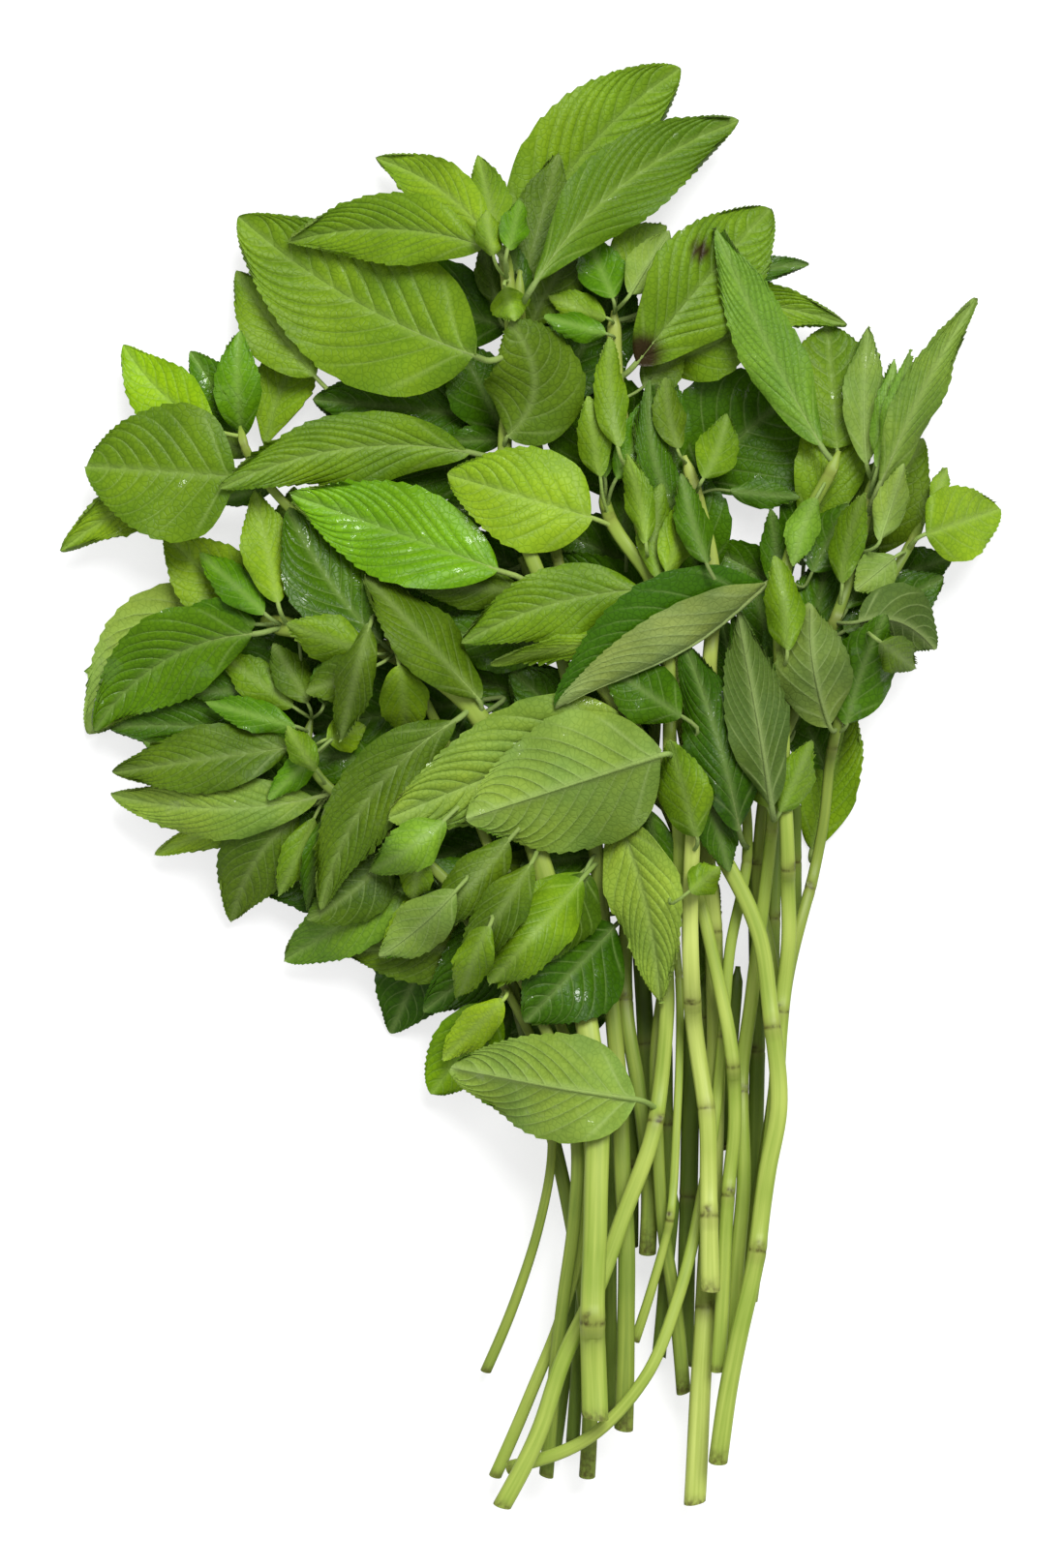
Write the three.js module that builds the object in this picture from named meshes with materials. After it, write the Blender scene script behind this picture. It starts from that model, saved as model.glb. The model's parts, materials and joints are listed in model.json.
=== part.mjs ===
// A bunch of fresh mint lying on a table: cut stem ends towards -Y, leafy tops towards +Y.
// Units are millimetres, +Z is up, and the table is the plane z = 0.
// Every piece is laid on the pile in turn, from the lowest leaf to the topmost one.
import * as THREE from 'three';

// ---- Leaves
const LEAF_THICKNESS = 0.7;
const LEAF_STEPS = 8; // facets along a leaf
const LEAF_STRIPS = 4; // facets across a leaf
const STALK_LENGTH = 3.5; // usual length of the stalk below the blade
const STALK_WIDTH = 1.8;
const TIP_WIDTH = 1;
const USUAL_FOLD = 18; // degrees that each half of a blade rises from the midrib
const USUAL_ARCH = 5.5; // height of the middle of a blade over its ends
const USUAL_RISE = 5; // height of a leaf's tip over its foot
const LEAF_KNOTS = [4, 3]; // places along and across where a leaf can give way

// ---- Stems
const STEM_SIDES = 8;
const SQUARE_CORNER = 1.06; // a mint stem is square with round corners
const SQUARE_FLAT = 0.93;
const RING_SPACING = 20; // widest distance between two rings of a stem
const NODE_SWELL = 1.28; // thickness at a leaf node over the usual thickness
const NODE_REACH = 3; // half the length of the swelling
const TIP_TAPER = 0.72; // thickness at the growing tip over that at the cut end
const STEM_KNOT_SPACING = 26; // distance between two places where a stem can give way

// ---- The pile
const CLEARANCE = 0.7; // air between two pieces that lie on each other
const CELL = 1; // pitch of the height field
const HALF_WIDTH = 115;
const HALF_LENGTH = 165;
const GIVE = 0.95; // how far a lift at one knot spreads, in knots
const MAX_LIFTS = 600;
const LIFT_TOLERANCE = 0.04;

const FINISHES = {
  stem_light: { color: '#9fbc4e', roughness: 0.45 },
  stem_green: { color: '#7f9f3c', roughness: 0.5 },
  leaf_bright: { color: '#5d9a1e', roughness: 0.4 },
  leaf_mature: { color: '#437a1c', roughness: 0.42 },
  leaf_dark: { color: '#2f5c17', roughness: 0.38 },
  leaf_olive: { color: '#667f2c', roughness: 0.5 },
  leaf_light: { color: '#86ad45', roughness: 0.5 },
  leaf_bluish: { color: '#4f8a4a', roughness: 0.5 },
  leaf_underside: { color: '#8ba365', roughness: 0.65 },
};

/** Height of the pile over the table, on a grid of square cells. */
class Pile {
  constructor() {
    this.columns = Math.ceil((2 * HALF_WIDTH) / CELL);
    this.rows = Math.ceil((2 * HALF_LENGTH) / CELL);
    this.heights = new Float64Array(this.columns * this.rows).fill(-CLEARANCE);
  }

  cell(x, y) {
    const column = Math.floor((x + HALF_WIDTH) / CELL);
    const row = Math.floor((y + HALF_LENGTH) / CELL);
    return row * this.columns + column;
  }

  height(x, y) {
    return this.heights[this.cell(x, y)];
  }

  /** Raises the cells around a point to at least z. */
  cover(x, y, z) {
    for (const dx of [-CELL / 2, CELL / 2]) {
      for (const dy of [-CELL / 2, CELL / 2]) {
        const cell = this.cell(x + dx, y + dy);
        this.heights[cell] = Math.max(this.heights[cell], z);
      }
    }
  }
}

/** Smooth shares of evenly spaced knots at t from 0 to 1. The shares add up to one. */
function knotShares(t, count) {
  if (count === 1) return [1];
  const shares = [];
  for (let knot = 0; knot < count; knot += 1) {
    const distance = (t * (count - 1) - knot) / GIVE;
    shares.push(Math.exp(-distance * distance));
  }
  const sum = shares.reduce((total, share) => total + share, 0);
  return shares.map((share) => share / sum);
}

/** A list that blends four corner lists at s along and t across. */
function blend(corners, s, t) {
  const shares = [(1 - s) * (1 - t), (1 - s) * t, s * (1 - t), s * t];
  return corners[0].map((_, i) => corners.reduce((sum, corner, k) => sum + corner[i] * shares[k], 0));
}

function dot(a, b) {
  let sum = 0;
  for (let i = 0; i < a.length; i += 1) sum += a[i] * b[i];
  return sum;
}

function planDistance(a, b) {
  return Math.hypot(b.x - a.x, b.y - a.y);
}

/**
 * A net of points over one piece, in rows along it and columns across it.
 * Each point is { x, y, z, under, over }: where it is, and how far the piece reaches down and up.
 */
class Net {
  constructor(rows, knotsAlong, knotsAcross) {
    this.rows = rows;
    this.lifts = new Array(knotsAlong * knotsAcross).fill(0);
    const widths = rows.map((row) => planDistance(row[0], row[row.length - 1]));
    const widest = Math.max(...widths);
    this.shares = rows.map((row, r) =>
      row.map((_, c) => {
        const fromMiddle = (c / (row.length - 1) - 0.5) * (widths[r] / widest);
        const along = knotShares(r / (rows.length - 1), knotsAlong);
        const across = knotShares(0.5 + fromMiddle, knotsAcross);
        return along.flatMap((a) => across.map((b) => a * b));
      }),
    );
    this.samples = this.makeSamples();
  }

  /** Points closer together than a cell, on the flat facets between the net's own points. */
  makeSamples() {
    const samples = [];
    const numbers = (p) => [p.x, p.y, p.z, p.under, p.over];
    for (let r = 0; r + 1 < this.rows.length; r += 1) {
      for (let c = 0; c + 1 < this.rows[r].length; c += 1) {
        const places = [[r, c], [r, c + 1], [r + 1, c], [r + 1, c + 1]];
        const corners = places.map(([i, j]) => numbers(this.rows[i][j]));
        const shares = places.map(([i, j]) => this.shares[i][j]);
        const flat = corners.map(([x, y]) => new THREE.Vector2(x, y));
        const long = Math.max(flat[0].distanceTo(flat[2]), flat[1].distanceTo(flat[3]));
        const wide = Math.max(flat[0].distanceTo(flat[1]), flat[2].distanceTo(flat[3]));
        const stepsAlong = Math.ceil(long / CELL) + 1;
        const stepsAcross = Math.ceil(wide / CELL) + 1;
        for (let i = 0; i <= stepsAlong; i += 1) {
          for (let j = 0; j <= stepsAcross; j += 1) {
            const [s, t] = [i / stepsAlong, j / stepsAcross];
            const [x, y, z, under, over] = blend(corners, s, t);
            samples.push({ x, y, z, under, over, shares: blend(shares, s, t) });
          }
        }
      }
    }
    return samples;
  }

  /** Sets the net on the table, raises it until it lies clear of the pile and adds it to the pile. */
  settle(pile) {
    const lowest = Math.min(...this.samples.map((sample) => sample.z - sample.under));
    this.lifts.fill(-lowest);
    for (let count = 0; count < MAX_LIFTS; count += 1) {
      let need = LIFT_TOLERANCE;
      let worst = null;
      for (const sample of this.samples) {
        const bottom = sample.z + dot(sample.shares, this.lifts) - sample.under;
        const missing = pile.height(sample.x, sample.y) + CLEARANCE - bottom;
        if (missing > need) {
          need = missing;
          worst = sample;
        }
      }
      if (worst === null) break;
      const scale = (0.5 * need) / dot(worst.shares, worst.shares);
      this.lifts = this.lifts.map((lift, i) => lift + scale * worst.shares[i]);
    }
    for (const sample of this.samples) {
      const top = sample.z + dot(sample.shares, this.lifts) + sample.over;
      pile.cover(sample.x, sample.y, top);
    }
  }

  height(row, column) {
    return this.rows[row][column].z + dot(this.shares[row][column], this.lifts);
  }
}

// ---- Leaf pieces

/** Half the blade's width at b, which runs from 0 at its foot to 1 at its tip. */
function bladeHalfWidth(leaf, b) {
  const bulge = Math.max(0, Math.sin(Math.PI * b ** leaf.early)) ** leaf.blunt;
  const narrowest = THREE.MathUtils.lerp(STALK_WIDTH, TIP_WIDTH, b) / 2;
  return Math.max(narrowest, (leaf.width / 2) * bulge);
}

/** Where the rows of a leaf's net lie, as shares of its length: the stalk, then the blade. */
function leafStations(leaf, length) {
  const stalk = leaf.stalk / length;
  const stations = [0];
  for (let step = 0; step < LEAF_STEPS; step += 1) {
    stations.push(stalk + ((1 - stalk) * step) / (LEAF_STEPS - 1));
  }
  return stations;
}

/** The net of a leaf before it is laid down: a folded, arched blade along a bowed midrib. */
function leafNet(leaf) {
  const base = new THREE.Vector2(...leaf.base);
  const tip = new THREE.Vector2(...leaf.tip);
  const chord = tip.clone().sub(base);
  const left = new THREE.Vector2(-chord.y, chord.x).normalize();
  const middle = base.clone().lerp(tip, 0.5).addScaledVector(left, 2 * leaf.bow);
  const midrib = new THREE.QuadraticBezierCurve(base, middle, tip);
  const stations = leafStations(leaf, chord.length());
  const slope = Math.tan(THREE.MathUtils.degToRad(leaf.fold));
  const rows = stations.map((t) => {
    const centre = midrib.getPoint(t);
    const heading = midrib.getTangent(t);
    const b = Math.max(0, (t - stations[1]) / (1 - stations[1]));
    const half = bladeHalfWidth(leaf, b);
    const arch = leaf.arch * Math.sin(Math.PI * t) + leaf.rise * t * t + leaf.foot * (1 - t) ** 2;
    const row = [];
    for (let strip = 0; strip <= LEAF_STRIPS; strip += 1) {
      const across = (2 * strip) / LEAF_STRIPS - 1;
      const x = centre.x + heading.y * half * across;
      const y = centre.y - heading.x * half * across;
      const z = arch + slope * half * Math.abs(across) + leaf.twist * half * across * t;
      row.push({ x, y, z, under: 0, over: leaf.thick });
    }
    return row;
  });
  return new Net(rows, ...LEAF_KNOTS);
}

/** A thin box bent onto the leaf's net. */
function leafGeometry(net) {
  const box = new THREE.BoxGeometry(1, 1, 1, LEAF_STRIPS, LEAF_STEPS, 1);
  const position = box.attributes.position;
  for (let i = 0; i < position.count; i += 1) {
    const row = Math.round((position.getY(i) + 0.5) * LEAF_STEPS);
    const column = Math.round((position.getX(i) + 0.5) * LEAF_STRIPS);
    const point = net.rows[row][column];
    const raised = position.getZ(i) > 0 ? LEAF_THICKNESS : 0;
    position.setXYZ(i, point.x, point.y, net.height(row, column) + raised);
  }
  return box;
}

// ---- Stem pieces

/** The rings of a stem in plan: even ones, and three at each node where it swells. */
function stemRings(stem) {
  const points = stem.path.map(([x, y]) => new THREE.Vector3(x, y, 0));
  const curve = new THREE.CatmullRomCurve3(points, false, 'centripetal');
  const divisions = 20;
  const lengths = curve.getLengths(divisions * (points.length - 1));
  const total = lengths[lengths.length - 1];
  const nodes = [];
  stem.path.forEach((point, i) => {
    if (point[2] === NODE) nodes.push(lengths[i * divisions]);
  });
  const fixed = [0, total, ...nodes.flatMap((at) => [at - NODE_REACH, at, at + NODE_REACH])];
  const marks = fixed.filter((at) => at >= 0 && at <= total).sort((a, b) => a - b);
  const distances = [marks[0]];
  for (const mark of marks.slice(1)) {
    const from = distances[distances.length - 1];
    const steps = Math.ceil((mark - from) / RING_SPACING);
    for (let step = 1; step <= steps; step += 1) {
      distances.push(from + ((mark - from) * step) / steps);
    }
  }
  return distances.map((distance) => {
    const { x, y } = curve.getPointAt(distance / total);
    const swell = nodes.includes(distance) ? NODE_SWELL : 1;
    const radius = (stem.thickness / 2) * THREE.MathUtils.lerp(1, TIP_TAPER, distance / total);
    return { x, y, radius: radius * swell };
  });
}

/** The net of a stem lying straight on the table. */
function stemNet(rings) {
  const centres = rings.map((ring) => new THREE.Vector3(ring.x, ring.y, 0));
  const line = new THREE.CatmullRomCurve3(centres, false, 'centripetal');
  const rows = rings.map((ring, i) => {
    const heading = line.getTangent(i / (rings.length - 1));
    return [-1, -0.7, 0, 0.7, 1].map((across) => {
      const bulge = ring.radius * SQUARE_CORNER * Math.sqrt(1 - across * across);
      return {
        x: ring.x + heading.y * ring.radius * across,
        y: ring.y - heading.x * ring.radius * across,
        z: ring.radius,
        under: bulge,
        over: bulge,
      };
    });
  });
  const knots = Math.ceil(line.getLength() / STEM_KNOT_SPACING) + 1;
  return new Net(rows, knots, 1);
}

/** A cylinder bent along the rings, with a square section. */
function stemGeometry(rings, net) {
  const centres = rings.map((ring, i) => new THREE.Vector3(ring.x, ring.y, net.height(i, 2)));
  const line = new THREE.CatmullRomCurve3(centres, false, 'centripetal');
  const steps = rings.length - 1;
  const tube = new THREE.CylinderGeometry(1, 1, 1, STEM_SIDES, steps);
  const position = tube.attributes.position;
  const up = new THREE.Vector3(0, 0, 1);
  for (let i = 0; i < position.count; i += 1) {
    const ring = Math.round((position.getY(i) + 0.5) * steps);
    const heading = line.getTangent(ring / steps);
    const side = heading.clone().cross(up).normalize();
    const top = side.clone().cross(heading);
    const [a, b] = [position.getX(i), position.getZ(i)];
    const onCorner = Math.abs(Math.abs(a) - Math.abs(b)) < 0.1;
    const size = rings[ring].radius * (onCorner ? SQUARE_CORNER : SQUARE_FLAT);
    const point = centres[ring].clone().addScaledVector(side, a * size).addScaledVector(top, b * size);
    position.setXYZ(i, point.x, point.y, point.z);
  }
  return tube;
}

// ---- The pieces of this bunch, each list from the lowest piece to the highest.
// A leaf is its sprig, number, finish, stalk foot, tip and width, then what is not usual about it.
// A bow is how far the middle of the midrib lies to the left of a straight line.
// A leaf with ROOM for its number is too small, or lies too deep, for a piece of its own: it is laid
// with the others so that they leave room for it, and nothing else is made of it. So are a few bare
// side stems, which are as thick as they are wide.

const NODE = 'node';
const ROOM = 0;
const ROUND = { blunt: 0.75, early: 0.72 }; // a blade with a broad, round foot
const BARE = { fold: 0, arch: 0, rise: 0, twist: 0, blunt: 0 };

const LOWER_LEAVES = [
  ['o', ROOM, 'stem_green', [26, -80], [22.5, -24], 3.8, { ...BARE, thick: 3.8 }],
  ['m', ROOM, 'stem_green', [21.3, -96], [21.5, -62], 3, { ...BARE, thick: 3 }],
  ['s', ROOM, 'stem_green', [32.3, -121], [34.2, -44], 4, { ...BARE, thick: 4 }],
  ['g', ROOM, 'stem_green', [46.5, -92], [46.5, -12], 3.4, { ...BARE, bow: -1, thick: 3.4 }],
  ['m', ROOM, 'stem_green', [17, -131], [16.8, -58], 2.8, { ...BARE, thick: 2.8 }],
  ['j', ROOM, 'stem_green', [5, -140], [11, -96], 3.2, { ...BARE, thick: 3.2 }],
  ['p', ROOM, 'stem_green', [29, -90], [28.5, -50], 2.6, { ...BARE, thick: 2.6 }],
  ['b', ROOM, 'stem_green', [37, -66], [35, -30], 2.4, { ...BARE, thick: 2.4 }],
  ['i', 2, 'leaf_underside', [-52, 34], [-92, 10.5], 27, { bow: -6.5, fold: -8, foot: 11 }],
  ['k', 1, 'leaf_dark', [-55.5, 67], [-45, 94], 12.5, { bow: 2, foot: 7, early: 1.15 }],
  ['l', 2, 'leaf_dark', [-18, -27], [-29, -52], 17, { foot: 14 }],
  ['h', 1, 'leaf_mature', [58, -17], [67.5, 17], 12, { foot: 6 }],
  ['b', 1, 'leaf_dark', [33, 59], [58, 83], 30, { bow: 2, foot: 9 }],
  ['d', ROOM, 'leaf_dark', [-6, 62], [-41, 74], 18, {}],
  ['d', ROOM, 'leaf_dark', [-5, 76], [-45, 80], 20, {}],
  ['d', ROOM, 'leaf_dark', [-4, 70], [-15, 92], 15, {}],
  ['j', ROOM, 'leaf_dark', [-38, 20], [-68, 12], 17, {}],
  ['i', ROOM, 'leaf_dark', [-36, 27], [-64, 24], 15, {}],
  ['j', ROOM, 'leaf_dark', [-50, 10], [-88, 12], 12, { bow: -1 }],
  ['a', ROOM, 'leaf_dark', [20, 10], [-15, 24], 16, {}],
  ['m', ROOM, 'leaf_dark', [8, 38], [-14, 52], 14, {}],
  ['c', ROOM, 'leaf_dark', [26, 44], [3, 54], 14, {}],
  ['l', ROOM, 'leaf_dark', [6, -6], [-26, -18], 17, {}],
  ['m', ROOM, 'leaf_olive', [10, -12], [-14, -30], 14, {}],
  ['l', ROOM, 'leaf_dark', [3, -36], [-9, -57], 11, {}],
  ['g', ROOM, 'leaf_olive', [66, 44], [82, 72], 17, {}],
  ['f', ROOM, 'leaf_dark', [57, 42], [58, 66], 12, {}],
  ['f', ROOM, 'leaf_dark', [55, 40], [36, 50], 10, {}],
  ['f', ROOM, 'leaf_dark', [53, 16], [46, 44], 13, {}],
  ['h', ROOM, 'leaf_dark', [63, 0], [56, 17], 11, {}],
  ['h', ROOM, 'leaf_dark', [72, 42], [88, 47], 9, {}],
  ['m', ROOM, 'leaf_dark', [-3, 44], [-50, 39], 24, {}],
  ['i', ROOM, 'leaf_dark', [-6, 18], [-46, 12], 26, {}],
  ['j', ROOM, 'leaf_dark', [-30, -6], [-80, 9], 21, {}],
  ['j', ROOM, 'leaf_dark', [-20, -14], [-56, -22], 20, {}],
  ['l', ROOM, 'leaf_olive', [-4, -33], [-38, -35], 15, {}],
  ['m', ROOM, 'leaf_dark', [12, -20], [-22, -47], 20, {}],
  ['c', ROOM, 'leaf_dark', [23, 56], [8, 90], 24, {}],
  ['e', ROOM, 'leaf_dark', [3, 76], [21, 109], 20, {}],
  ['b', ROOM, 'leaf_dark', [37, 38], [29, 70], 18, {}],
  ['q', ROOM, 'leaf_dark', [49, -4], [40, 34], 20, {}],
  ['f', ROOM, 'leaf_dark', [54, 8], [62, 48], 20, {}],
  ['g', ROOM, 'leaf_dark', [62, 30], [86, 43], 15, {}],
  ['f', ROOM, 'leaf_mature', [57, 48], [69, 88], 15, {}],
  ['a', ROOM, 'leaf_dark', [29, -6], [-4, 24], 26, {}],
  ['a', ROOM, 'leaf_dark', [29, 24], [2, 48], 22, {}],
  ['e', ROOM, 'leaf_dark', [-1, 94], [-36, 104], 20, {}],
  ['k', ROOM, 'leaf_mature', [-42, 82], [-61, 107], 14, { bow: 1 }],
  ['k', ROOM, 'leaf_bright', [-60, 69], [-70.5, 90], 11, { bow: -1 }],
  ['k', ROOM, 'leaf_bright', [-59, 69], [-60, 94], 10, { bow: 1 }],
  ['c', ROOM, 'leaf_olive', [-1, 92], [9, 113], 13, {}],
  ['i', ROOM, 'leaf_light', [-52, 35], [-76, 52.5], 16, { bow: 2, foot: 3 }],
  ['i', ROOM, 'leaf_light', [-50, 38], [-49, 62], 11, { foot: 3 }],
  ['j', ROOM, 'leaf_light', [-44, -4], [-78, -14.5], 8, { bow: -1, foot: 5 }],
  ['j', ROOM, 'leaf_olive', [-45, -4], [-62, -28.5], 16, { bow: -3, foot: 5 }],
  ['j', ROOM, 'leaf_mature', [-43, -4], [-52, -23], 7, { foot: 5 }],
  ['j', 1, 'leaf_light', [-41, -2], [-87, -2], 13, { bow: 3, foot: 14 }],
  ['j', ROOM, 'leaf_dark', [-42, -4], [-46, -26], 6, { foot: 6 }],
  ['l', ROOM, 'leaf_bluish', [-22, -19], [-51, -36.5], 14, { foot: 6, blunt: 0.7 }],
  ['l', 1, 'leaf_bluish', [-27, -11], [-46, -28], 14, { bow: 2, foot: 2 }],
  ['l', ROOM, 'leaf_light', [-14, -20], [-31, -36], 10, { foot: 6 }],
  ['b', ROOM, 'leaf_olive', [33, -46], [39.5, -21], 6, { foot: 5 }],
  ['f', 1, 'leaf_mature', [64, 66], [62, 95.5], 21, { blunt: 0.6 }],
  ['c', ROOM, 'leaf_mature', [20, 96], [66, 95.5], 11, { bow: 4 }],
  ['c', ROOM, 'leaf_dark', [20, 96], [58, 108], 9, { bow: 2.5 }],
  ['c', ROOM, 'leaf_mature', [18, 101], [28.5, 116.5], 11, { bow: 2 }],
  ['c', 1, 'leaf_mature', [24, 87], [47, 97], 14, { bow: -2 }],
  ['e', 1, 'leaf_mature', [-3, 106], [31.5, 149.5], 23, { bow: 4.5, foot: 6, blunt: 0.7, early: 0.85 }],
  ['e', ROOM, 'leaf_olive', [-2, 101], [6, 131], 12, {}],
  ['f', ROOM, 'leaf_dark', [57, 41], [66, 58], 12, {}],
  ['b', ROOM, 'leaf_dark', [38, 61], [56, 59.5], 6, {}],
  ['c', ROOM, 'leaf_dark', [30, 60], [28, 87], 9, {}],
  ['a', ROOM, 'leaf_dark', [8, 28], [-20, 32], 14, {}],
  ['m', ROOM, 'leaf_dark', [20, 44], [20, 64], 9, {}],
  ['c', ROOM, 'leaf_olive', [21, 80], [32, 90], 9, {}],
  ['l', ROOM, 'leaf_dark', [-12, -8], [-33, -12], 9, {}],
  ['j', ROOM, 'leaf_dark', [-28, 4], [-50, 7], 11, {}],
  ['a', ROOM, 'leaf_dark', [20, -14], [-2, -17], 9, {}],
  ['m', ROOM, 'leaf_dark', [-4, -18], [-27, -22], 10, {}],
  ['l', ROOM, 'leaf_dark', [20, -47], [-4, -52], 10, {}],
  ['i', ROOM, 'leaf_dark', [-50, 20], [-70, 19], 9, {}],
  ['i', ROOM, 'leaf_dark', [-40, 35], [-62, 36], 10, {}],
  ['f', ROOM, 'leaf_dark', [53, 36], [50, 57], 7, {}],
  ['g', ROOM, 'leaf_dark', [64, 33], [72, 50], 8, {}],
  ['e', ROOM, 'leaf_olive', [-6, 96], [-10, 112], 6, {}],
  ['e', ROOM, 'leaf_dark', [-1, 96], [-4, 113], 6, {}],
  ['r', ROOM, 'stem_green', [9, -137], [12, -92], 3, { ...BARE, thick: 3 }],
  ['o', ROOM, 'stem_green', [27, -119], [30, -84], 3.2, { ...BARE, thick: 3.2 }],
  ['q', ROOM, 'stem_green', [40.5, -76], [43.5, -38], 2.8, { ...BARE, thick: 2.8 }],
  ['h', ROOM, 'stem_green', [50.5, -48], [51.5, -6], 2.8, { ...BARE, thick: 2.8 }],
  ['g', ROOM, 'stem_green', [55.7, -30], [55.5, -2], 2.4, { ...BARE, thick: 2.4 }],
  ['k', ROOM, 'leaf_dark', [-50, 62], [-66, 59], 5, {}],
  ['m', ROOM, 'leaf_dark', [-4, 56], [-18, 58], 9, {}],
  ['d', ROOM, 'leaf_dark', [-2, 72], [-18, 71], 6, {}],
  ['k', ROOM, 'leaf_olive', [-56, 66], [-64, 72], 5, {}],
];

const STEMS = [
  {
    name: 'r',
    thickness: 3.6,
    finish: 'stem_green',
    path: [[12, -143.5], [12.5, -122], [10, -98], [4, -70], [-2, -48, NODE], [-6, -30]],
  },
  {
    name: 'g',
    thickness: 3.4,
    finish: 'stem_green',
    path: [
      [42.5, -114], [45.5, -98], [49, -78], [51.5, -58], [51.5, -42], [49.5, -35], [47.5, -25],
      [47.5, -16, NODE], [49, 0], [56, 18], [63, 34, NODE], [68, 48], [70, 58, NODE], [71, 64],
    ],
  },
  {
    name: 'l',
    thickness: 2.4,
    finish: 'stem_green',
    path: [
      [-9, -122], [-2.8, -107], [1.2, -95], [4, -80], [5, -70], [2, -56], [-5, -42, NODE],
      [-13, -28], [-22, -15, NODE], [-28, -9],
    ],
  },
  {
    name: 'k',
    thickness: 2.8,
    finish: 'stem_light',
    path: [
      [-7, -143.5], [0.5, -126], [6.7, -110], [10.6, -95], [12, -80], [10, -60], [1, -38, NODE],
      [-8, -14], [-19, 12, NODE], [-32, 36], [-46, 53, NODE], [-55, 63], [-59, 70, NODE], [-60, 74],
    ],
  },
  {
    name: 'j',
    thickness: 3.2,
    finish: 'stem_green',
    path: [
      [3.5, -143], [5, -125], [6, -112], [8.4, -100], [9.5, -85], [9.7, -73], [5, -55],
      [-4, -36, NODE], [-17, -20], [-30, -9, NODE], [-40, -2], [-46, 6, NODE], [-45, 14],
    ],
  },
  {
    name: 'o',
    thickness: 3.8,
    finish: 'stem_green',
    path: [
      [24.5, -97], [25, -85], [23, -66], [20, -45, NODE], [21, -20],
      [25, 2], [26, 17, NODE], [25, 22],
    ],
  },
  {
    name: 'p',
    thickness: 3.2,
    finish: 'stem_green',
    path: [
      [32, -126], [30.5, -110], [28, -95], [27, -80], [26, -60], [29, -36, NODE], [35, -8],
      [42, 14, NODE], [46, 30],
    ],
  },
  {
    name: 's',
    thickness: 2.2,
    finish: 'stem_light',
    path: [[22, -115], [26, -102], [29, -90, NODE], [30, -78], [31, -60], [31, -40, NODE], [29, -20]],
  },
  {
    name: 'm',
    thickness: 4.2,
    finish: 'stem_light',
    path: [
      [19.5, -133], [20, -110], [20, -95], [19, -75], [18, -55], [16, -36, NODE], [14, -16],
      [10, 12, NODE], [3, 38, NODE], [-2, 47],
    ],
  },
  {
    name: 'c',
    thickness: 4.8,
    finish: 'stem_light',
    path: [
      [34.3, -148.5], [35.5, -125], [36.4, -109, NODE], [37.6, -90], [38.6, -60], [38, -30, NODE],
      [34, 2], [28, 32, NODE], [22, 60, NODE], [18, 82, NODE], [17.5, 98],
    ],
  },
  {
    name: 'n',
    thickness: 3,
    finish: 'stem_light',
    path: [
      [-4, -141.3], [3, -139.7], [10, -136.5], [17, -131], [23.5, -123], [29, -111], [32.5, -100], [35, -89],
      [38, -72], [40, -52, NODE], [42, -30], [45, -16, NODE], [44, 4], [43, 22],
    ],
  },
  {
    name: 'h',
    thickness: 3,
    finish: 'stem_green',
    path: [
      [44.5, -106], [47.8, -90], [50.8, -70], [52.2, -52], [54.5, -34], [58.2, -22, NODE], [60.8, -10],
      [62.8, 8, NODE], [66, 22], [70, 34, NODE], [75, 43], [79, 50, NODE], [82, 55],
    ],
  },
  {
    name: 'q',
    thickness: 3.6,
    finish: 'stem_light',
    path: [
      [42, -116], [43, -100], [44.5, -80], [44, -64, NODE], [44.5, -55], [46, -45], [48, -28],
      [50, -9, NODE], [50, 8], [47, 24],
    ],
  },
  {
    name: 'e',
    thickness: 3.3,
    finish: 'stem_light',
    path: [
      [39, -121], [40, -105], [41, -85, NODE], [42.5, -70], [42, -58, NODE], [40, -45], [37, -32],
      [34, -20], [30, -8], [24, 4, NODE], [14, 22], [6, 46, NODE], [1, 74, NODE], [-2, 98, NODE], [-2, 106],
    ],
  },
  {
    name: 'f',
    thickness: 3.8,
    finish: 'stem_light',
    path: [
      [45.5, -106], [47.4, -92], [49.7, -75], [51.4, -60], [52, -47, NODE], [53.5, -35], [53.2, -17, NODE],
      [52.8, -8], [52, 14], [52, 40, NODE], [56, 53], [62, 64, NODE], [64, 69],
    ],
  },
  {
    name: 'd',
    thickness: 4.2,
    finish: 'stem_light',
    path: [
      [39, -139.5], [41, -125], [44, -110], [47, -96, NODE], [48, -85], [51, -70], [51.5, -60],
      [50, -50, NODE], [48.2, -35], [44.3, -22], [36, -10], [24, 8], [10, 28, NODE], [0, 48],
      [-5, 67, NODE], [-3.5, 86, NODE], [-4.5, 104, NODE], [-5.5, 111],
    ],
  },
  {
    name: 'a',
    thickness: 4,
    finish: 'stem_light',
    path: [
      [-5.5, -148.5], [1, -136], [5, -125], [9, -113], [17, -98], [19, -90], [23, -80],
      [26, -70, NODE], [27, -62], [28.5, -52], [28, -42], [27, -33], [30, -25, NODE], [31, -12],
      [29, 6, NODE], [29, 22], [26, 40, NODE], [17, 54, NODE], [15, 61],
    ],
  },
  {
    name: 'i',
    thickness: 5.8,
    finish: 'stem_light',
    path: [
      [13.5, -130], [13, -110, NODE], [13.5, -90], [14, -70], [11, -45, NODE], [4, -22],
      [-4, 2, NODE], [-14, 18], [-28, 27, NODE], [-42, 31], [-52, 33, NODE], [-55, 34],
    ],
  },
  {
    name: 'b',
    thickness: 4.2,
    finish: 'stem_light',
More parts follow.
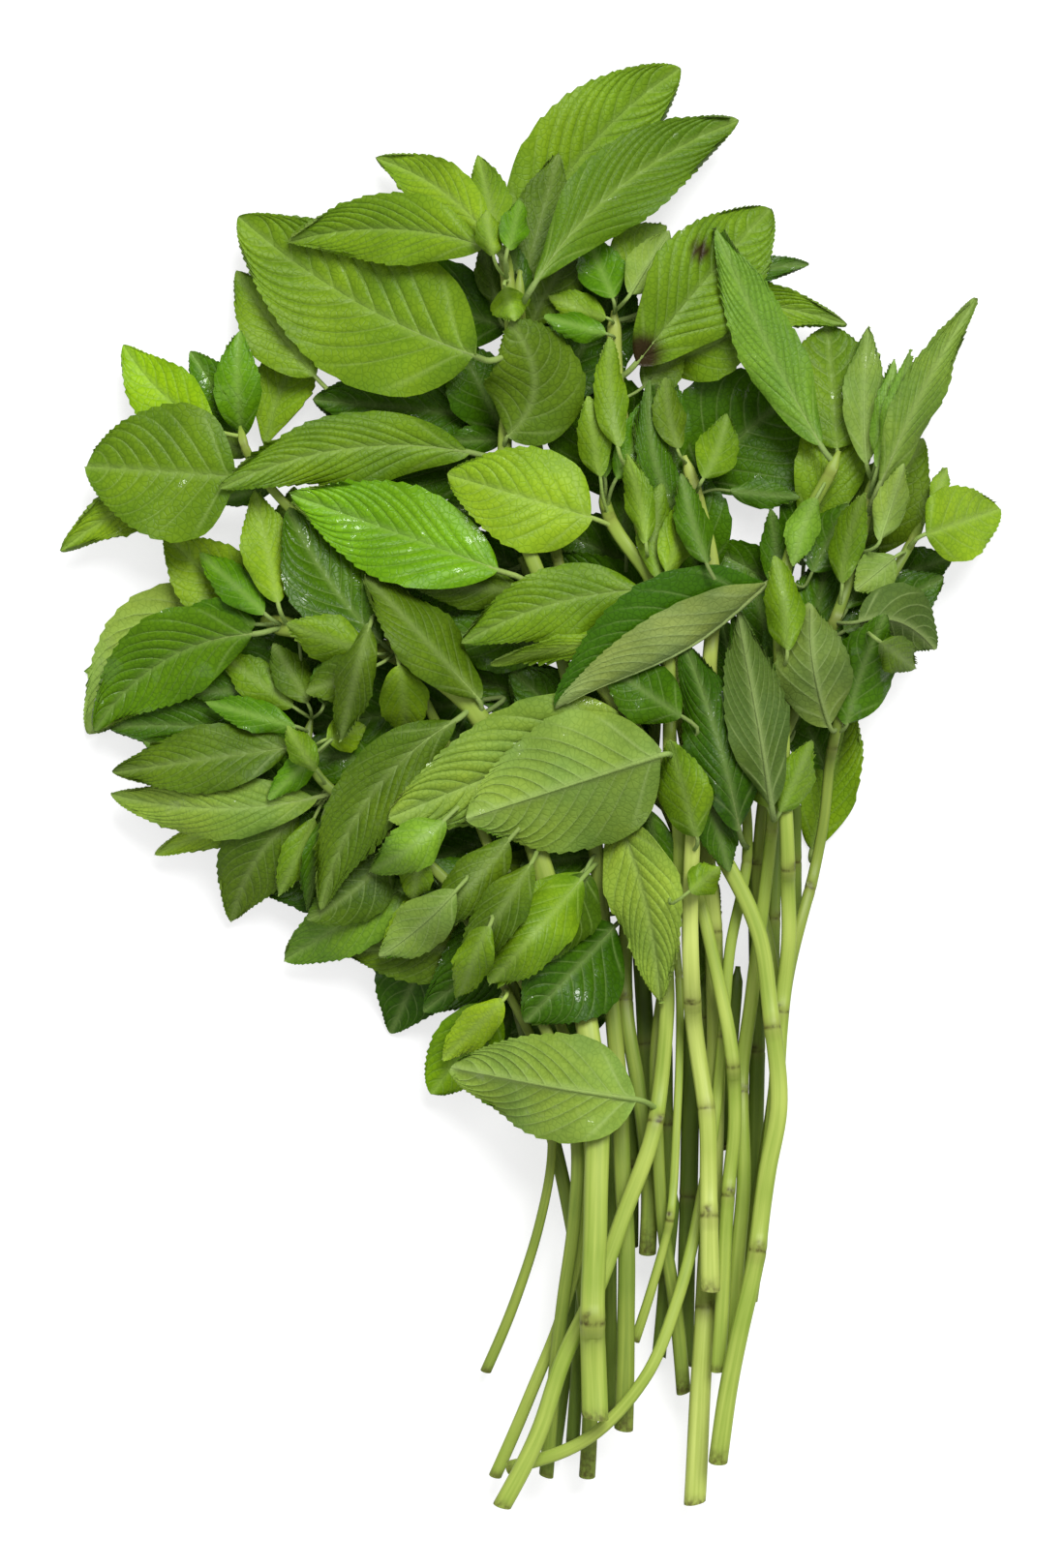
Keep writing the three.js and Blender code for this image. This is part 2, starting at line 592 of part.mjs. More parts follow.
    path: [
      [37.3, -104], [37, -89, NODE], [37, -80], [36.5, -67, NODE], [35, -58], [33.5, -44, NODE],
      [33, -28], [34, -4], [37, 22, NODE], [38, 44, NODE], [34.5, 60, NODE], [32, 68],
    ],
  },
];

const UPPER_LEAVES = [
  ['j', ROOM, 'leaf_olive', [-46, 8], [-86.5, 2.5], 14, {}],
  ['j', ROOM, 'leaf_mature', [-46, 14], [-64, 27], 9, {}],
  ['j', ROOM, 'leaf_olive', [-44, 14], [-53, 29], 8, {}],
  ['j', ROOM, 'leaf_dark', [-43, 13], [-40, 27], 8, {}],
  ['j', ROOM, 'leaf_bright', [-45, 11], [-67, 17], 7, {}],
  ['j', ROOM, 'leaf_light', [-45, 8], [-34, 12], 8, {}],
  ['i', ROOM, 'leaf_bright', [-53, 33], [-76, 33], 11, {}],
  ['i', ROOM, 'leaf_bright', [-52, 33], [-68.5, 48], 8, {}],
  ['i', 4, 'leaf_bright', [-53, 31], [-90.5, 11], 19, { bow: -6 }],
  ['i', ROOM, 'leaf_light', [-51, 34], [-57, 61], 11, {}],
  ['i', 1, 'leaf_bright', [-28, 27], [-50, 57], 18, { bow: 2 }],
  ['i', ROOM, 'leaf_mature', [-30, 26], [-50, 33], 10, {}],
  ['i', ROOM, 'leaf_olive', [-29, 25], [-46, 19], 10, {}],
  ['i', ROOM, 'leaf_light', [-27, 28], [-25, 8], 10, {}],
  ['k', ROOM, 'leaf_olive', [-32, 36], [-39, 9], 8, {}],
  ['k', 2, 'leaf_bright', [-62, 72], [-84.5, 91.5], 14, { bow: 2.5 }],
  ['k', 4, 'leaf_olive', [-54, 63], [-97.5, 48.5], 13, { bow: -4.5 }],
  ['k', 3, 'leaf_dark', [-55, 63], [-92, 66], 29, { ...ROUND, blunt: 0.6, stalk: 6 }],
  ['d', 1, 'leaf_olive', [-9, 68], [-64, 61], 15, { bow: -5 }],
  ['i', 5, 'leaf_olive', [-8, 15], [-34, 43], 13, {}],
  ['m', ROOM, 'leaf_olive', [2, 40], [-24, 41], 9, {}],
  ['m', 2, 'leaf_bright', [-3, 43], [-49.5, 60], 21, {}],
  ['l', ROOM, 'leaf_mature', [-22, -12], [-24, -24], 7, { rise: 1 }],
  ['m', ROOM, 'leaf_mature', [14, -16], [-14, -38], 10, {}],
  ['l', 3, 'leaf_bright', [-5, -43], [-20.5, -64.5], 14, { blunt: 0.6 }],
  ['l', ROOM, 'leaf_bright', [-3, -42], [-18, -57], 8, {}],
  ['i', 3, 'leaf_mature', [-12, 15], [-43, -26], 15, { bow: -6 }],
  ['m', 1, 'leaf_dark', [20, -27], [-1, -49], 22, {}],
  ['a', 5, 'leaf_mature', [29, 17], [-29, -7], 24, { ...ROUND, stalk: 10 }],
  ['a', ROOM, 'leaf_dark', [24, -2], [27.5, -22], 8, {}],
  ['b', ROOM, 'leaf_dark', [35, 4], [41, -18], 9, {}],
  ['m', 3, 'leaf_olive', [13, -15], [4, -36], 13, {}],
  ['m', ROOM, 'leaf_light', [13, -17], [-8, -41], 13, { blunt: 0.65 }],
  ['m', 4, 'leaf_light', [17, -4], [27, -45], 15, { bow: 2, early: 0.7 }],
  ['a', 1, 'leaf_light', [27, 40], [-14, 29], 15, { bow: -3 }],
  ['d', 2, 'leaf_mature', [-8, 69], [-4, 95], 21, { bow: -7, blunt: 0.65 }],
  ['d', ROOM, 'leaf_light', [-6, 110], [-10.5, 131], 9, {}],
  ['d', ROOM, 'leaf_light', [-7, 110], [-32, 130.5], 12, { bow: -3 }],
  ['d', 3, 'leaf_mature', [-8, 87], [-60.5, 118], 32, { ...ROUND, bow: 3, arch: 5 }],
  ['d', 4, 'leaf_dark', [-6, 109], [-50, 112.5], 15, { bow: -4, fold: 35 }],
  ['d', ROOM, 'leaf_light', [-7, 105], [-9, 118], 6, { rise: 3 }],
  ['d', ROOM, 'leaf_bright', [-5, 106], [-2, 121], 6, { rise: 3 }],
  ['d', ROOM, 'leaf_light', [-6, 105], [-3, 95], 8, { rise: 1 }],
  ['a', ROOM, 'leaf_bright', [16, 60], [16, 83], 6, { bow: 1 }],
  ['a', ROOM, 'leaf_bright', [16, 60], [26, 82], 8, { bow: -1 }],
  ['a', 2, 'leaf_light', [16, 54], [-17, 64], 22, ROUND],
  ['a', ROOM, 'leaf_light', [15, 60], [12, 80], 7, {}],
  ['b', ROOM, 'leaf_dark', [38, 46], [25, 84], 8, { bow: 5 }],
  ['a', ROOM, 'leaf_mature', [27, 39], [27, 62], 8, { bow: 1 }],
  ['a', ROOM, 'leaf_light', [27, 40], [34, 61], 8, {}],
  ['c', ROOM, 'leaf_light', [19, 95], [4, 101], 7, { rise: 1 }],
  ['c', ROOM, 'leaf_bright', [19, 92], [3, 96], 6, { rise: 1 }],
  ['c', ROOM, 'leaf_bright', [18.5, 97], [12, 114], 10, {}],
  ['c', ROOM, 'leaf_underside', [19, 98], [29, 115], 9, {}],
  ['c', 2, 'leaf_light', [20, 84], [50, 119.7], 22, { bow: 0.5, blunt: 0.75, early: 1.05 }],
  ['f', 2, 'leaf_bluish', [62, 67], [38.5, 115], 13, { bow: 1, arch: 5 }],
  ['g', ROOM, 'leaf_underside', [70, 63], [70.5, 95], 9, { bow: 1, fold: 40 }],
  ['g', ROOM, 'leaf_bluish', [71, 63], [75.5, 88], 5, {}],
  ['g', ROOM, 'leaf_bluish', [71, 62], [79, 90], 5, {}],
  ['g', 1, 'leaf_bluish', [71, 58], [92.7, 101], 9, { bow: 1.5, rise: 8 }],
  ['h', ROOM, 'leaf_underside', [78, 49], [67, 40], 9, {}],
  ['h', ROOM, 'leaf_light', [82, 55], [87, 66], 4, { rise: 1 }],
  ['h', 2, 'leaf_bright', [79, 50.5], [98, 57.5], 16, { ...ROUND, blunt: 0.6, stalk: 3 }],
  ['g', 2, 'leaf_underside', [64, 32], [84, 28], 16, { bow: 4, fold: -12 }],
  ['h', ROOM, 'leaf_dark', [65, 9], [73, 35], 14, { bow: 1 }],
  ['h', ROOM, 'leaf_olive', [69, 31], [80, 24], 8, {}],
  ['h', 3, 'leaf_underside', [63, 9], [58, 37], 16, { bow: 2, fold: -10 }],
  ['q', ROOM, 'leaf_mature', [50, -9], [58, 9], 8, {}],
  ['q', ROOM, 'leaf_light', [50, -8], [42, 12], 6, {}],
  ['n', 1, 'leaf_dark', [44, -14], [32, 29], 14, { bow: -1, stalk: 5 }],
  ['q', 1, 'leaf_underside', [50, -8], [43, 36], 13, { fold: -8 }],
  ['b', ROOM, 'leaf_mature', [35, -14], [29, 9], 11, {}],
  ['a', ROOM, 'leaf_dark', [34, 12], [15, 25], 13, {}],
  ['a', ROOM, 'leaf_light', [30, -24], [39, -17], 7, { rise: 1 }],
  ['a', 3, 'leaf_underside', [25, -65.5], [-16, -58.5], 22.5, { ...ROUND, fold: -10 }],
  ['e', 2, 'leaf_light', [-2, 97], [43.5, 138], 17, { bow: 6, stalk: 6, early: 1.1 }],
  ['a', 4, 'leaf_underside', [30, 7], [-13, -7], 29, { ...ROUND, fold: -10, arch: 5 }],
  ['a', ROOM, 'leaf_light', [28, 30], [-8, 25], 5, { bow: -1 }],
  ['f', 3, 'leaf_dark', [52, 43], [5, 16], 16, { bow: -5, fold: 6, arch: 5 }],
];

/** Usual proportions, varied a little from one leaf to the next so that no two are alike. */
function leafFrom([sprig, number, finish, base, tip, width, unusual], index) {
  const sway = Math.sin(2.4 * index);
  const usual = {
    bow: 0,
    foot: 0,
    fold: USUAL_FOLD + 4 * sway,
    arch: USUAL_ARCH - sway,
    rise: USUAL_RISE + 3 * Math.cos(1.7 * index),
    twist: 0.1 * sway,
    thick: LEAF_THICKNESS,
    stalk: STALK_LENGTH,
    blunt: 0.92,
    early: 0.85,
  };
  return { sprig, number, finish, base, tip, width, ...usual, ...unusual };
}

function leafName(leaf) {
  return `sprig_${leaf.sprig}_leaf_${leaf.number}`;
}

function namedMesh(name, finish, geometry) {
  const material = new THREE.MeshStandardMaterial({ ...FINISHES[finish], metalness: 0 });
  material.name = finish;
  const mesh = new THREE.Mesh(geometry, material);
  mesh.name = name;
  return mesh;
}

function layLeaves(list, bunch, pile, firstIndex) {
  list.forEach((entry, i) => {
    const leaf = leafFrom(entry, firstIndex + i);
    const net = leafNet(leaf);
    net.settle(pile);
    if (leaf.number !== ROOM) bunch.add(namedMesh(leafName(leaf), leaf.finish, leafGeometry(net)));
  });
}

function layStems(list, bunch, pile) {
  for (const stem of list) {
    const rings = stemRings(stem);
    const net = stemNet(rings);
    net.settle(pile);
    bunch.add(namedMesh(`sprig_${stem.name}_stem`, stem.finish, stemGeometry(rings, net)));
  }
}

/** The whole bunch, centred over the origin and standing on z = 0. */
function mintBunch() {
  const bunch = new THREE.Group();
  const pile = new Pile();
  layLeaves(LOWER_LEAVES, bunch, pile, 0);
  layStems(STEMS, bunch, pile);
  layLeaves(UPPER_LEAVES, bunch, pile, LOWER_LEAVES.length);
  const box = new THREE.Box3().setFromObject(bunch);
  const centre = box.getCenter(new THREE.Vector3());
  bunch.position.set(-centre.x, -centre.y, -box.min.z);
  return bunch;
}

export default mintBunch();
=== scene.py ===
"""A bunch of fresh mint, cut and laid down: nineteen leafy sprigs, bare stems towards -Y.

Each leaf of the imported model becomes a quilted, toothed blade with its midrib and stalk, and each
stem a ridged square tube with swollen nodes, leaf scars and a cut end. The many small leaves that
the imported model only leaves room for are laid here, one after another, on the same pile.
Lengths are millimetres until a mesh is written, and then metres.
"""
import json
import logging
import math
from dataclasses import dataclass, field
from enum import Enum
from typing import Any

import bmesh
import bpy
import numpy as np
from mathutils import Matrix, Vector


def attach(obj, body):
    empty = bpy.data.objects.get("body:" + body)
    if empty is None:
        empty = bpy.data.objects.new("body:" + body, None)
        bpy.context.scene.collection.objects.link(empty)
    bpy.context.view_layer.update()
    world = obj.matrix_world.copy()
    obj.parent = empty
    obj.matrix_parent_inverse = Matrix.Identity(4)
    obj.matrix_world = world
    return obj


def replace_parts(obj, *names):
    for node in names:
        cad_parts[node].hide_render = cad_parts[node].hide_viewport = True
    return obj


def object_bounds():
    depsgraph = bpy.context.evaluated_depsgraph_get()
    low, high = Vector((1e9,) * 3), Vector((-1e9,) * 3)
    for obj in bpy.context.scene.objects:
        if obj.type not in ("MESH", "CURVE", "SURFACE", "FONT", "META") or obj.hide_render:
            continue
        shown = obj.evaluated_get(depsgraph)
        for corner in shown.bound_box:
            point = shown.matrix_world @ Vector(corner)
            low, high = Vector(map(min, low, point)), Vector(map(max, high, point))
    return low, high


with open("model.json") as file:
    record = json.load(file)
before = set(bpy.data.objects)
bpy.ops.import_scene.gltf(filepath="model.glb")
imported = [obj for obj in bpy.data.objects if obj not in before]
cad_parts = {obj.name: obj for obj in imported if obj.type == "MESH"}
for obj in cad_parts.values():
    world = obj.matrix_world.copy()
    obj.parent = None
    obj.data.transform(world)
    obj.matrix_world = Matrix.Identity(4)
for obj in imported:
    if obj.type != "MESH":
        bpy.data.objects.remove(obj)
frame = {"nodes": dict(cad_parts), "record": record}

CAD_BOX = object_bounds()
BODY = "root"
MM = 0.001

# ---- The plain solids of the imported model
WELD = 1e-6  # the solids are loose triangles; corners closer than this, in metres, are one
SOLID_THICKNESS = 0.7  # of a leaf's solid
SOLID_ROWS = 9  # points along a leaf's solid: the stalk's foot, then eight along the blade
SOLID_COLUMNS = 5
SOLID_RIM = 2 * (SOLID_ROWS + SOLID_COLUMNS) - 4
MIDDLE = SOLID_COLUMNS // 2  # the column of the midrib
NODE_RATIO = 1.12  # a ring this much thicker than the next ones is a swollen node
STEM_FOOT = ("sprig_a_stem", (-5.5, -148.5))  # a cut end, before the bunch was centred

# ---- The pile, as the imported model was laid
CLEARANCE = 0.7  # kept between any two pieces
CELL = 1.0  # side of a cell of the grid that holds the pile's height
HALF_WIDTH = 115  # of that grid
HALF_LENGTH = 165
KNOTS = (4, 3)  # places along and across a leaf where it can be lifted
GIVE = 0.95  # how far such a lift reaches, over the distance between the places
MAX_LIFTS = 600
LIFT_STEP = 0.5  # share of the missing height that one lift makes up
LIFT_TOLERANCE = 0.04
STEM_ACROSS = (-1, -0.7, 0, 0.7, 1)  # where a stem's round top is measured, over its radius

# ---- Small leaves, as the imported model's leaves were drawn
STALK_LENGTH = 3.5
STALK_WIDTH = 1.8
TIP_WIDTH = 1.0
WIDEST_EARLY = 0.85  # lower puts the widest place of a blade nearer to its foot
FOLD = 18  # degrees that each half of a blade rises from its midrib
ARCH = 5.5  # height of a blade's middle
RISE = 5  # height of its tip over its foot
FOLD_SWAY = 4  # by how much one leaf differs from the next in each of these
ARCH_SWAY = -1
RISE_SWAY = 3
LEAN = 0.1  # how far one half of a blade rises over the other, at most

log = logging.getLogger("mint")


def smooth_curve(knots: np.ndarray, marks: np.ndarray, at: np.ndarray) -> np.ndarray:
    """Runs a smooth curve through knots that needn't be evenly spaced.

    Args:
        knots: The values to pass through, one row each.
        marks: The place of each knot along the curve, rising.
        at: The places where the curve is wanted.

    Returns:
        One row for each place in at.
    """
    shape = (-1,) + (1,) * (knots.ndim - 1)
    steps = np.diff(marks)
    wide = steps.reshape(shape)
    slopes = np.diff(knots, axis=0) / wide
    tangents = np.empty(knots.shape)
    tangents[1:-1] = (slopes[:-1] * wide[1:] + slopes[1:] * wide[:-1]) / (wide[1:] + wide[:-1])
    tangents[0] = 1.5 * slopes[0] - 0.5 * tangents[1]
    tangents[-1] = 1.5 * slopes[-1] - 0.5 * tangents[-2]
    i = np.clip(np.searchsorted(marks, at, side="right") - 1, 0, len(marks) - 2)
    step = steps[i].reshape(shape)
    t = ((at - marks[i]) / steps[i]).reshape(shape)
    start = (1 + 2 * t) * (1 - t) ** 2 * knots[i] + t * (1 - t) ** 2 * step * tangents[i]
    end = t * t * (3 - 2 * t) * knots[i + 1] + t * t * (t - 1) * step * tangents[i + 1]
    return start + end


def chord_marks(points: np.ndarray) -> np.ndarray:
    """Distance of each point from the first one, along straight lines between them."""
    steps = np.linalg.norm(np.diff(points, axis=0), axis=1)
    return np.concatenate([[0.0], np.cumsum(steps)])


def unit(vectors: np.ndarray) -> np.ndarray:
    """The vectors at length one."""
    return vectors / np.maximum(np.linalg.norm(vectors, axis=-1, keepdims=True), 1e-9)


def ease(values: np.ndarray, low: float, high: float) -> np.ndarray:
    """Rises smoothly from 0 at low to 1 at high."""
    t = np.clip((values - low) / (high - low), 0, 1)
    return t * t * (3 - 2 * t)


def hump(values: np.ndarray, width: float) -> np.ndarray:
    """Falls smoothly from 1 at 0 to almost nothing at twice the width, on both sides."""
    return np.exp(-((values / width) ** 2))


# ---- Reading the plain solids


def merged_copy(node: bpy.types.Object) -> bmesh.types.BMesh:
    """Copies a node's mesh with its loose triangles joined.

    Args:
        node: The CAD node.

    Returns:
        The copy, in millimetres.
    """
    bm = bmesh.new()
    bm.from_mesh(node.data)
    bmesh.ops.remove_doubles(bm, verts=bm.verts, dist=WELD)
    bmesh.ops.scale(bm, vec=(1 / MM,) * 3, verts=bm.verts)
    bm.normal_update()
    return bm


def walk_loop(edges: list[bmesh.types.BMEdge]) -> np.ndarray:
    """Walks along a closed ring of edges.

    Args:
        edges: The ring's edges, in any order.

    Returns:
        Its corners in order, one row each.
    """
    ends: dict[bmesh.types.BMVert, list[bmesh.types.BMVert]] = {}
    for edge in edges:
        a, b = edge.verts
        ends.setdefault(a, []).append(b)
        ends.setdefault(b, []).append(a)
    loop = [edges[0].verts[0]]
    previous = None
    while len(loop) < len(ends):
        here = loop[-1]
        following = next(v for v in ends[here] if v is not previous)
        previous = here
        loop.append(following)
    return np.array([vert.co[:] for vert in loop])


def read_leaf(node: bpy.types.Object) -> np.ndarray:
    """Finds the net that a leaf's solid was bent from.

    Args:
        node: The leaf's CAD node.

    Returns:
        Points of its middle surface, shaped (SOLID_ROWS, SOLID_COLUMNS, 3), with the stalk's foot
        in the first row and the left margin in the first column.
    """
    bm = merged_copy(node)
    under = {face for face in bm.faces if face.normal.z < -0.05}
    rim = [e for e in bm.edges if sum(face in under for face in e.link_faces) == 1]
    loop = walk_loop(rim)
    lower = np.array([vert.co[:] for vert in bm.verts if not under.isdisjoint(vert.link_faces)])
    bm.free()
    # The tip is where the rim's edges are shortest, because a blade ends narrower than its stalk.
    edge = np.linalg.norm((np.roll(loop, -1, axis=0) - loop)[:, :2], axis=1)
    runs = [sum(edge[(i + k) % SOLID_RIM] for k in (-2, -1, 0, 1)) for i in range(SOLID_RIM)]
    tip = int(np.argmin(runs))
    net = np.empty((SOLID_ROWS, SOLID_COLUMNS, 3))
    for row in range(SOLID_ROWS):
        away = MIDDLE + SOLID_ROWS - 1 - row
        ends = loop[(tip + away) % SOLID_RIM], loop[(tip - away) % SOLID_RIM]
        for column in range(SOLID_COLUMNS):
            wanted = ends[0] + (ends[1] - ends[0]) * column / (SOLID_COLUMNS - 1)
            nearest = np.argmin(np.linalg.norm(lower[:, :2] - wanted[:2], axis=1))
            net[row, column] = lower[nearest]
    heading = net[-1, MIDDLE] - net[0, MIDDLE]
    across = net[SOLID_ROWS // 2, -1] - net[SOLID_ROWS // 2, 0]
    if heading[0] * across[1] - heading[1] * across[0] > 0:
        net = net[:, ::-1]
    net[..., 2] += SOLID_THICKNESS / 2
    return net


def read_stem(node: bpy.types.Object) -> np.ndarray:
    """Finds the rings that a stem's solid was made from.

    Args:
        node: The stem's CAD node.

    Returns:
        Rows of x, y, z and radius, from the cut end to the growing tip.
    """
    bm = merged_copy(node)
    # Only the two end points of a stem are joined to nothing but corners with five edges.
    poles = [vert for vert in bm.verts if all(len(e.other_vert(vert).link_edges) == 5
                                              for e in vert.link_edges)]
    layer = [poles[0]]
    seen = set(layer)
    rings = []
    while layer:
        around = dict.fromkeys(e.other_vert(v) for v in layer for e in v.link_edges)
        layer = [v for v in around if v not in seen]
        seen.update(layer)
        if len(layer) > 1:
            points = np.array([vert.co[:] for vert in layer])
            centre = points.mean(axis=0)
            radius = np.linalg.norm(points - centre, axis=1).mean()
            rings.append([*centre, radius])
    bm.free()
    found = np.array(rings)
    return found if found[0, 3] > found[-1, 3] else found[::-1]


# ---- The pile


def knot_shares(t: np.ndarray, count: int) -> np.ndarray:
    """Smooth shares of count evenly spaced knots in places t, from 0 to 1; a row adds up to one."""
    shares = hump(t[:, None] * (count - 1) - np.arange(count), GIVE)
    return shares / shares.sum(axis=1, keepdims=True)


def facet_samples(grid: np.ndarray) -> np.ndarray:
    """Points closer together than a cell on the flat facets of a net.

    Args:
        grid: The net, shaped (rows, columns, values), with x and y as the first two values.

    Returns:
        The blended values, one row for each point.
    """
    found = []
    for r in range(grid.shape[0] - 1):
        for c in range(grid.shape[1] - 1):
            corners = grid[r, c], grid[r, c + 1], grid[r + 1, c], grid[r + 1, c + 1]
            flat = [corner[:2] for corner in corners]
            long = max(np.linalg.norm(flat[0] - flat[2]), np.linalg.norm(flat[1] - flat[3]))
            wide = max(np.linalg.norm(flat[0] - flat[1]), np.linalg.norm(flat[2] - flat[3]))
            s = np.linspace(0, 1, math.ceil(long / CELL) + 2)[:, None, None]
            t = np.linspace(0, 1, math.ceil(wide / CELL) + 2)[None, :, None]
            near = corners[0] * (1 - t) + corners[1] * t
            far = corners[2] * (1 - t) + corners[3] * t
            found.append((near * (1 - s) + far * s).reshape(-1, grid.shape[2]))
    return np.concatenate(found)


class Pile:
    """Height of the pile over the table, on a grid of square cells."""

    def __init__(self, origin: np.ndarray) -> None:
        """Starts with the bare table; origin is how far the bunch was moved to centre it."""
        self.origin = origin
        self.heights = np.full((2 * HALF_LENGTH, 2 * HALF_WIDTH), -CLEARANCE)

    def cells(self, plan: np.ndarray) -> tuple[np.ndarray, np.ndarray]:
        """Row and column of the cell under each point."""
        x, y = (plan - self.origin).T
        return (((y + HALF_LENGTH) // CELL).astype(int), ((x + HALF_WIDTH) // CELL).astype(int))

    def cover(self, plan: np.ndarray, tops: np.ndarray) -> None:
        """Raises the cells around each point to at least its top.

        Args:
            plan: The points in plan.
            tops: The height of each.
        """
        for dx in (-CELL / 2, CELL / 2):
            for dy in (-CELL / 2, CELL / 2):
                np.maximum.at(self.heights, self.cells(plan + (dx, dy)), tops)

    def cover_net(self, net: np.ndarray, thickness: float = SOLID_THICKNESS) -> None:
        """Adds a piece that is already in its place, from the net of its middle surface."""
        samples = facet_samples(net)
        self.cover(samples[:, :2], samples[:, 2] + thickness / 2)

    def cover_stem(self, rings: np.ndarray) -> None:
        """Adds a stem that is already in its place.

        Args:
            rings: Its rings, as read_stem returns them.
        """
        heading = np.gradient(rings[:, :2], axis=0)
        side = unit(np.stack([heading[:, 1], -heading[:, 0]], axis=1))
        across = np.array(STEM_ACROSS)
        reach = rings[:, None, 3:] * across[None, :, None]
        plan = rings[:, None, :2] + side[:, None] * reach
        top = rings[:, None, 2] + rings[:, None, 3] * np.sqrt(1 - across * across)
        samples = facet_samples(np.concatenate([plan, top[..., None]], axis=2))
        self.cover(samples[:, :2], samples[:, 2])

    def settle(self, net: np.ndarray, thickness: float = SOLID_THICKNESS) -> np.ndarray:
        """Sets a piece's net on the table and raises it until it lies clear of the pile.

        Args:
            net: The lower surface of the piece, shaped like the nets that read_leaf returns.
            thickness: Of the piece.

        Returns:
            The middle surface of the piece in its place.
        """
        rows, columns = net.shape[:2]
        widths = np.linalg.norm((net[:, -1] - net[:, 0])[:, :2], axis=1)
        aside = np.linspace(-0.5, 0.5, columns)[None, :] * (widths / widths.max())[:, None]
        along = knot_shares(np.linspace(0, 1, rows), KNOTS[0])
        across = knot_shares(0.5 + aside.ravel(), KNOTS[1]).reshape(rows, columns, -1)
        shares = (along[:, None, :, None] * across[:, :, None, :]).reshape(rows, columns, -1)
        samples = facet_samples(np.concatenate([net, shares], axis=2))
        plan, z, weights = samples[:, :2], samples[:, 2], samples[:, 3:]
        ground = self.heights[self.cells(plan)] + CLEARANCE
        lifts = np.full(weights.shape[1], -z.min())
        for _ in range(MAX_LIFTS):
            missing = ground - z - weights @ lifts
            worst = int(np.argmax(missing))
            if missing[worst] <= LIFT_TOLERANCE:
                break
            share = weights[worst]
            lifts += LIFT_STEP * missing[worst] / (share @ share) * share
        placed = net.copy()
        placed[..., 2] += shares @ lifts + thickness / 2
        self.cover_net(placed, thickness)
        return placed


# ---- Finishes

Tree = bpy.types.NodeTree
Socket = bpy.types.NodeSocket
Inputs = dict[str | int, Any] | tuple  # values or output sockets, by name or number, or in order

SHARE, FIRST, SECOND, MIXED = 0, 6, 7, 2  # sockets of a Mix node that mixes colours
MIX = {"data_type": "RGBA"}
MULTIPLY = {"data_type": "RGBA", "blend_type": "MULTIPLY"}

LEAF_IOR = 1.42  # the wax over a leaf's skin
WATER_ROUGHNESS = 0.1
BACK_ROUGHNESS = 0.62  # of the felted lower side
NET_MESH = 1.3  # width of the meshes of a leaf's finest veins
CLOUD_SIZE = 14  # of the lighter and darker patches on a leaf
FILM_SIZE = 7  # of the patches of water
BEAD_SIZE = 1.4  # of the unevenness of their surface
DEEPEST = (0.52, 0.6, 0.4, 1)  # what a leaf's colour is multiplied by where it is darkest
PALEST = (1.38, 1.3, 1.05, 1)
COOLEST = (0.94, 0.98, 1.05, 1)
WARMEST = (1.06, 1.02, 0.75, 1)
BLIGHT = "#33280f"
VEIN_PALE = "#c0d488"
STREAK_WIDTH = 0.8  # of the fine streaks along a stem
STREAK_SQUEEZE = 0.03  # a streak's width over its length
PATCH_LENGTH = 22  # of the lighter and darker lengths of a stem
FLECK_SIZE = 0.9  # of the breaks in a scar
NODE_TINT = "#7f7f3e"
SCAR = "#3e2f14"
PITH = "#a39a62"


def linear(shade: str) -> tuple[float, float, float, float]:
    """Turns an sRGB hex colour into the linear colour that a shader takes.

    Args:
        shade: The colour, such as "#7a9e20".

    Returns:
        Red, green, blue and an alpha of one.
    """
    channels = [int(shade[i:i + 2], 16) / 255 for i in (1, 3, 5)]
    bright = [c / 12.92 if c <= 0.04045 else ((c + 0.055) / 1.055) ** 2.4 for c in channels]
    return (*bright, 1.0)


def connect(node: bpy.types.Node, inputs: Inputs) -> None:
    """Sets a node's inputs, each to a value or to the output that drives it.

    Args:
        node: The node.
        inputs: What goes in.
    """
    for socket, value in inputs.items() if isinstance(inputs, dict) else enumerate(inputs):
        if isinstance(value, Socket):
            node.id_data.links.new(value, node.inputs[socket])
        else:
            node.inputs[socket].default_value = value


def add_node(tree: Tree, kind: str, inputs: Inputs = (), output: int | str = 0,
             **settings: Any) -> Socket:
    """Adds a shader node with its settings, its values and its links.

    Args:
        tree: The material's node tree.
        kind: The node's type, without the ShaderNode before it.
        inputs: What goes in.
        output: The name or number of the output that is wanted.
        **settings: The node's own settings.

    Returns:
        That output's socket.
    """
    node = tree.nodes.new(f"ShaderNode{kind}")
    for name, value in settings.items():
        setattr(node, name, value)
    connect(node, inputs)
    return node.outputs[output]


@dataclass(frozen=True)
class Finish:
    """A finish whose material is made once, however many pieces have it.

    Attributes:
        name: The material's name.
    """

    name: str

    def material(self) -> bpy.types.Material:
        """Makes the material, or finds it if an earlier piece had it.

        Returns:
            The material.
        """
        made = bpy.data.materials.get(self.name)
        if made is None:
            made = bpy.data.materials.new(self.name)
            made.use_nodes = True
            connect(made.node_tree.nodes["Principled BSDF"], self.looks(made.node_tree))
        return made

    def looks(self, tree: Tree) -> Inputs:
        """Works out what goes into the material's shader; each kind of finish has its own."""
        raise NotImplementedError


class Side(Enum):
    """A leaf's sides, by how far their veins stand out.

    Each value holds the darkness of the finest veins, the paleness of the bigger ones, and how
    much of that paleness covers them.
    """

    UPPER = (0.26, 0.36, 0.5)
    LOWER = (0.18, 0.5, 0.55)


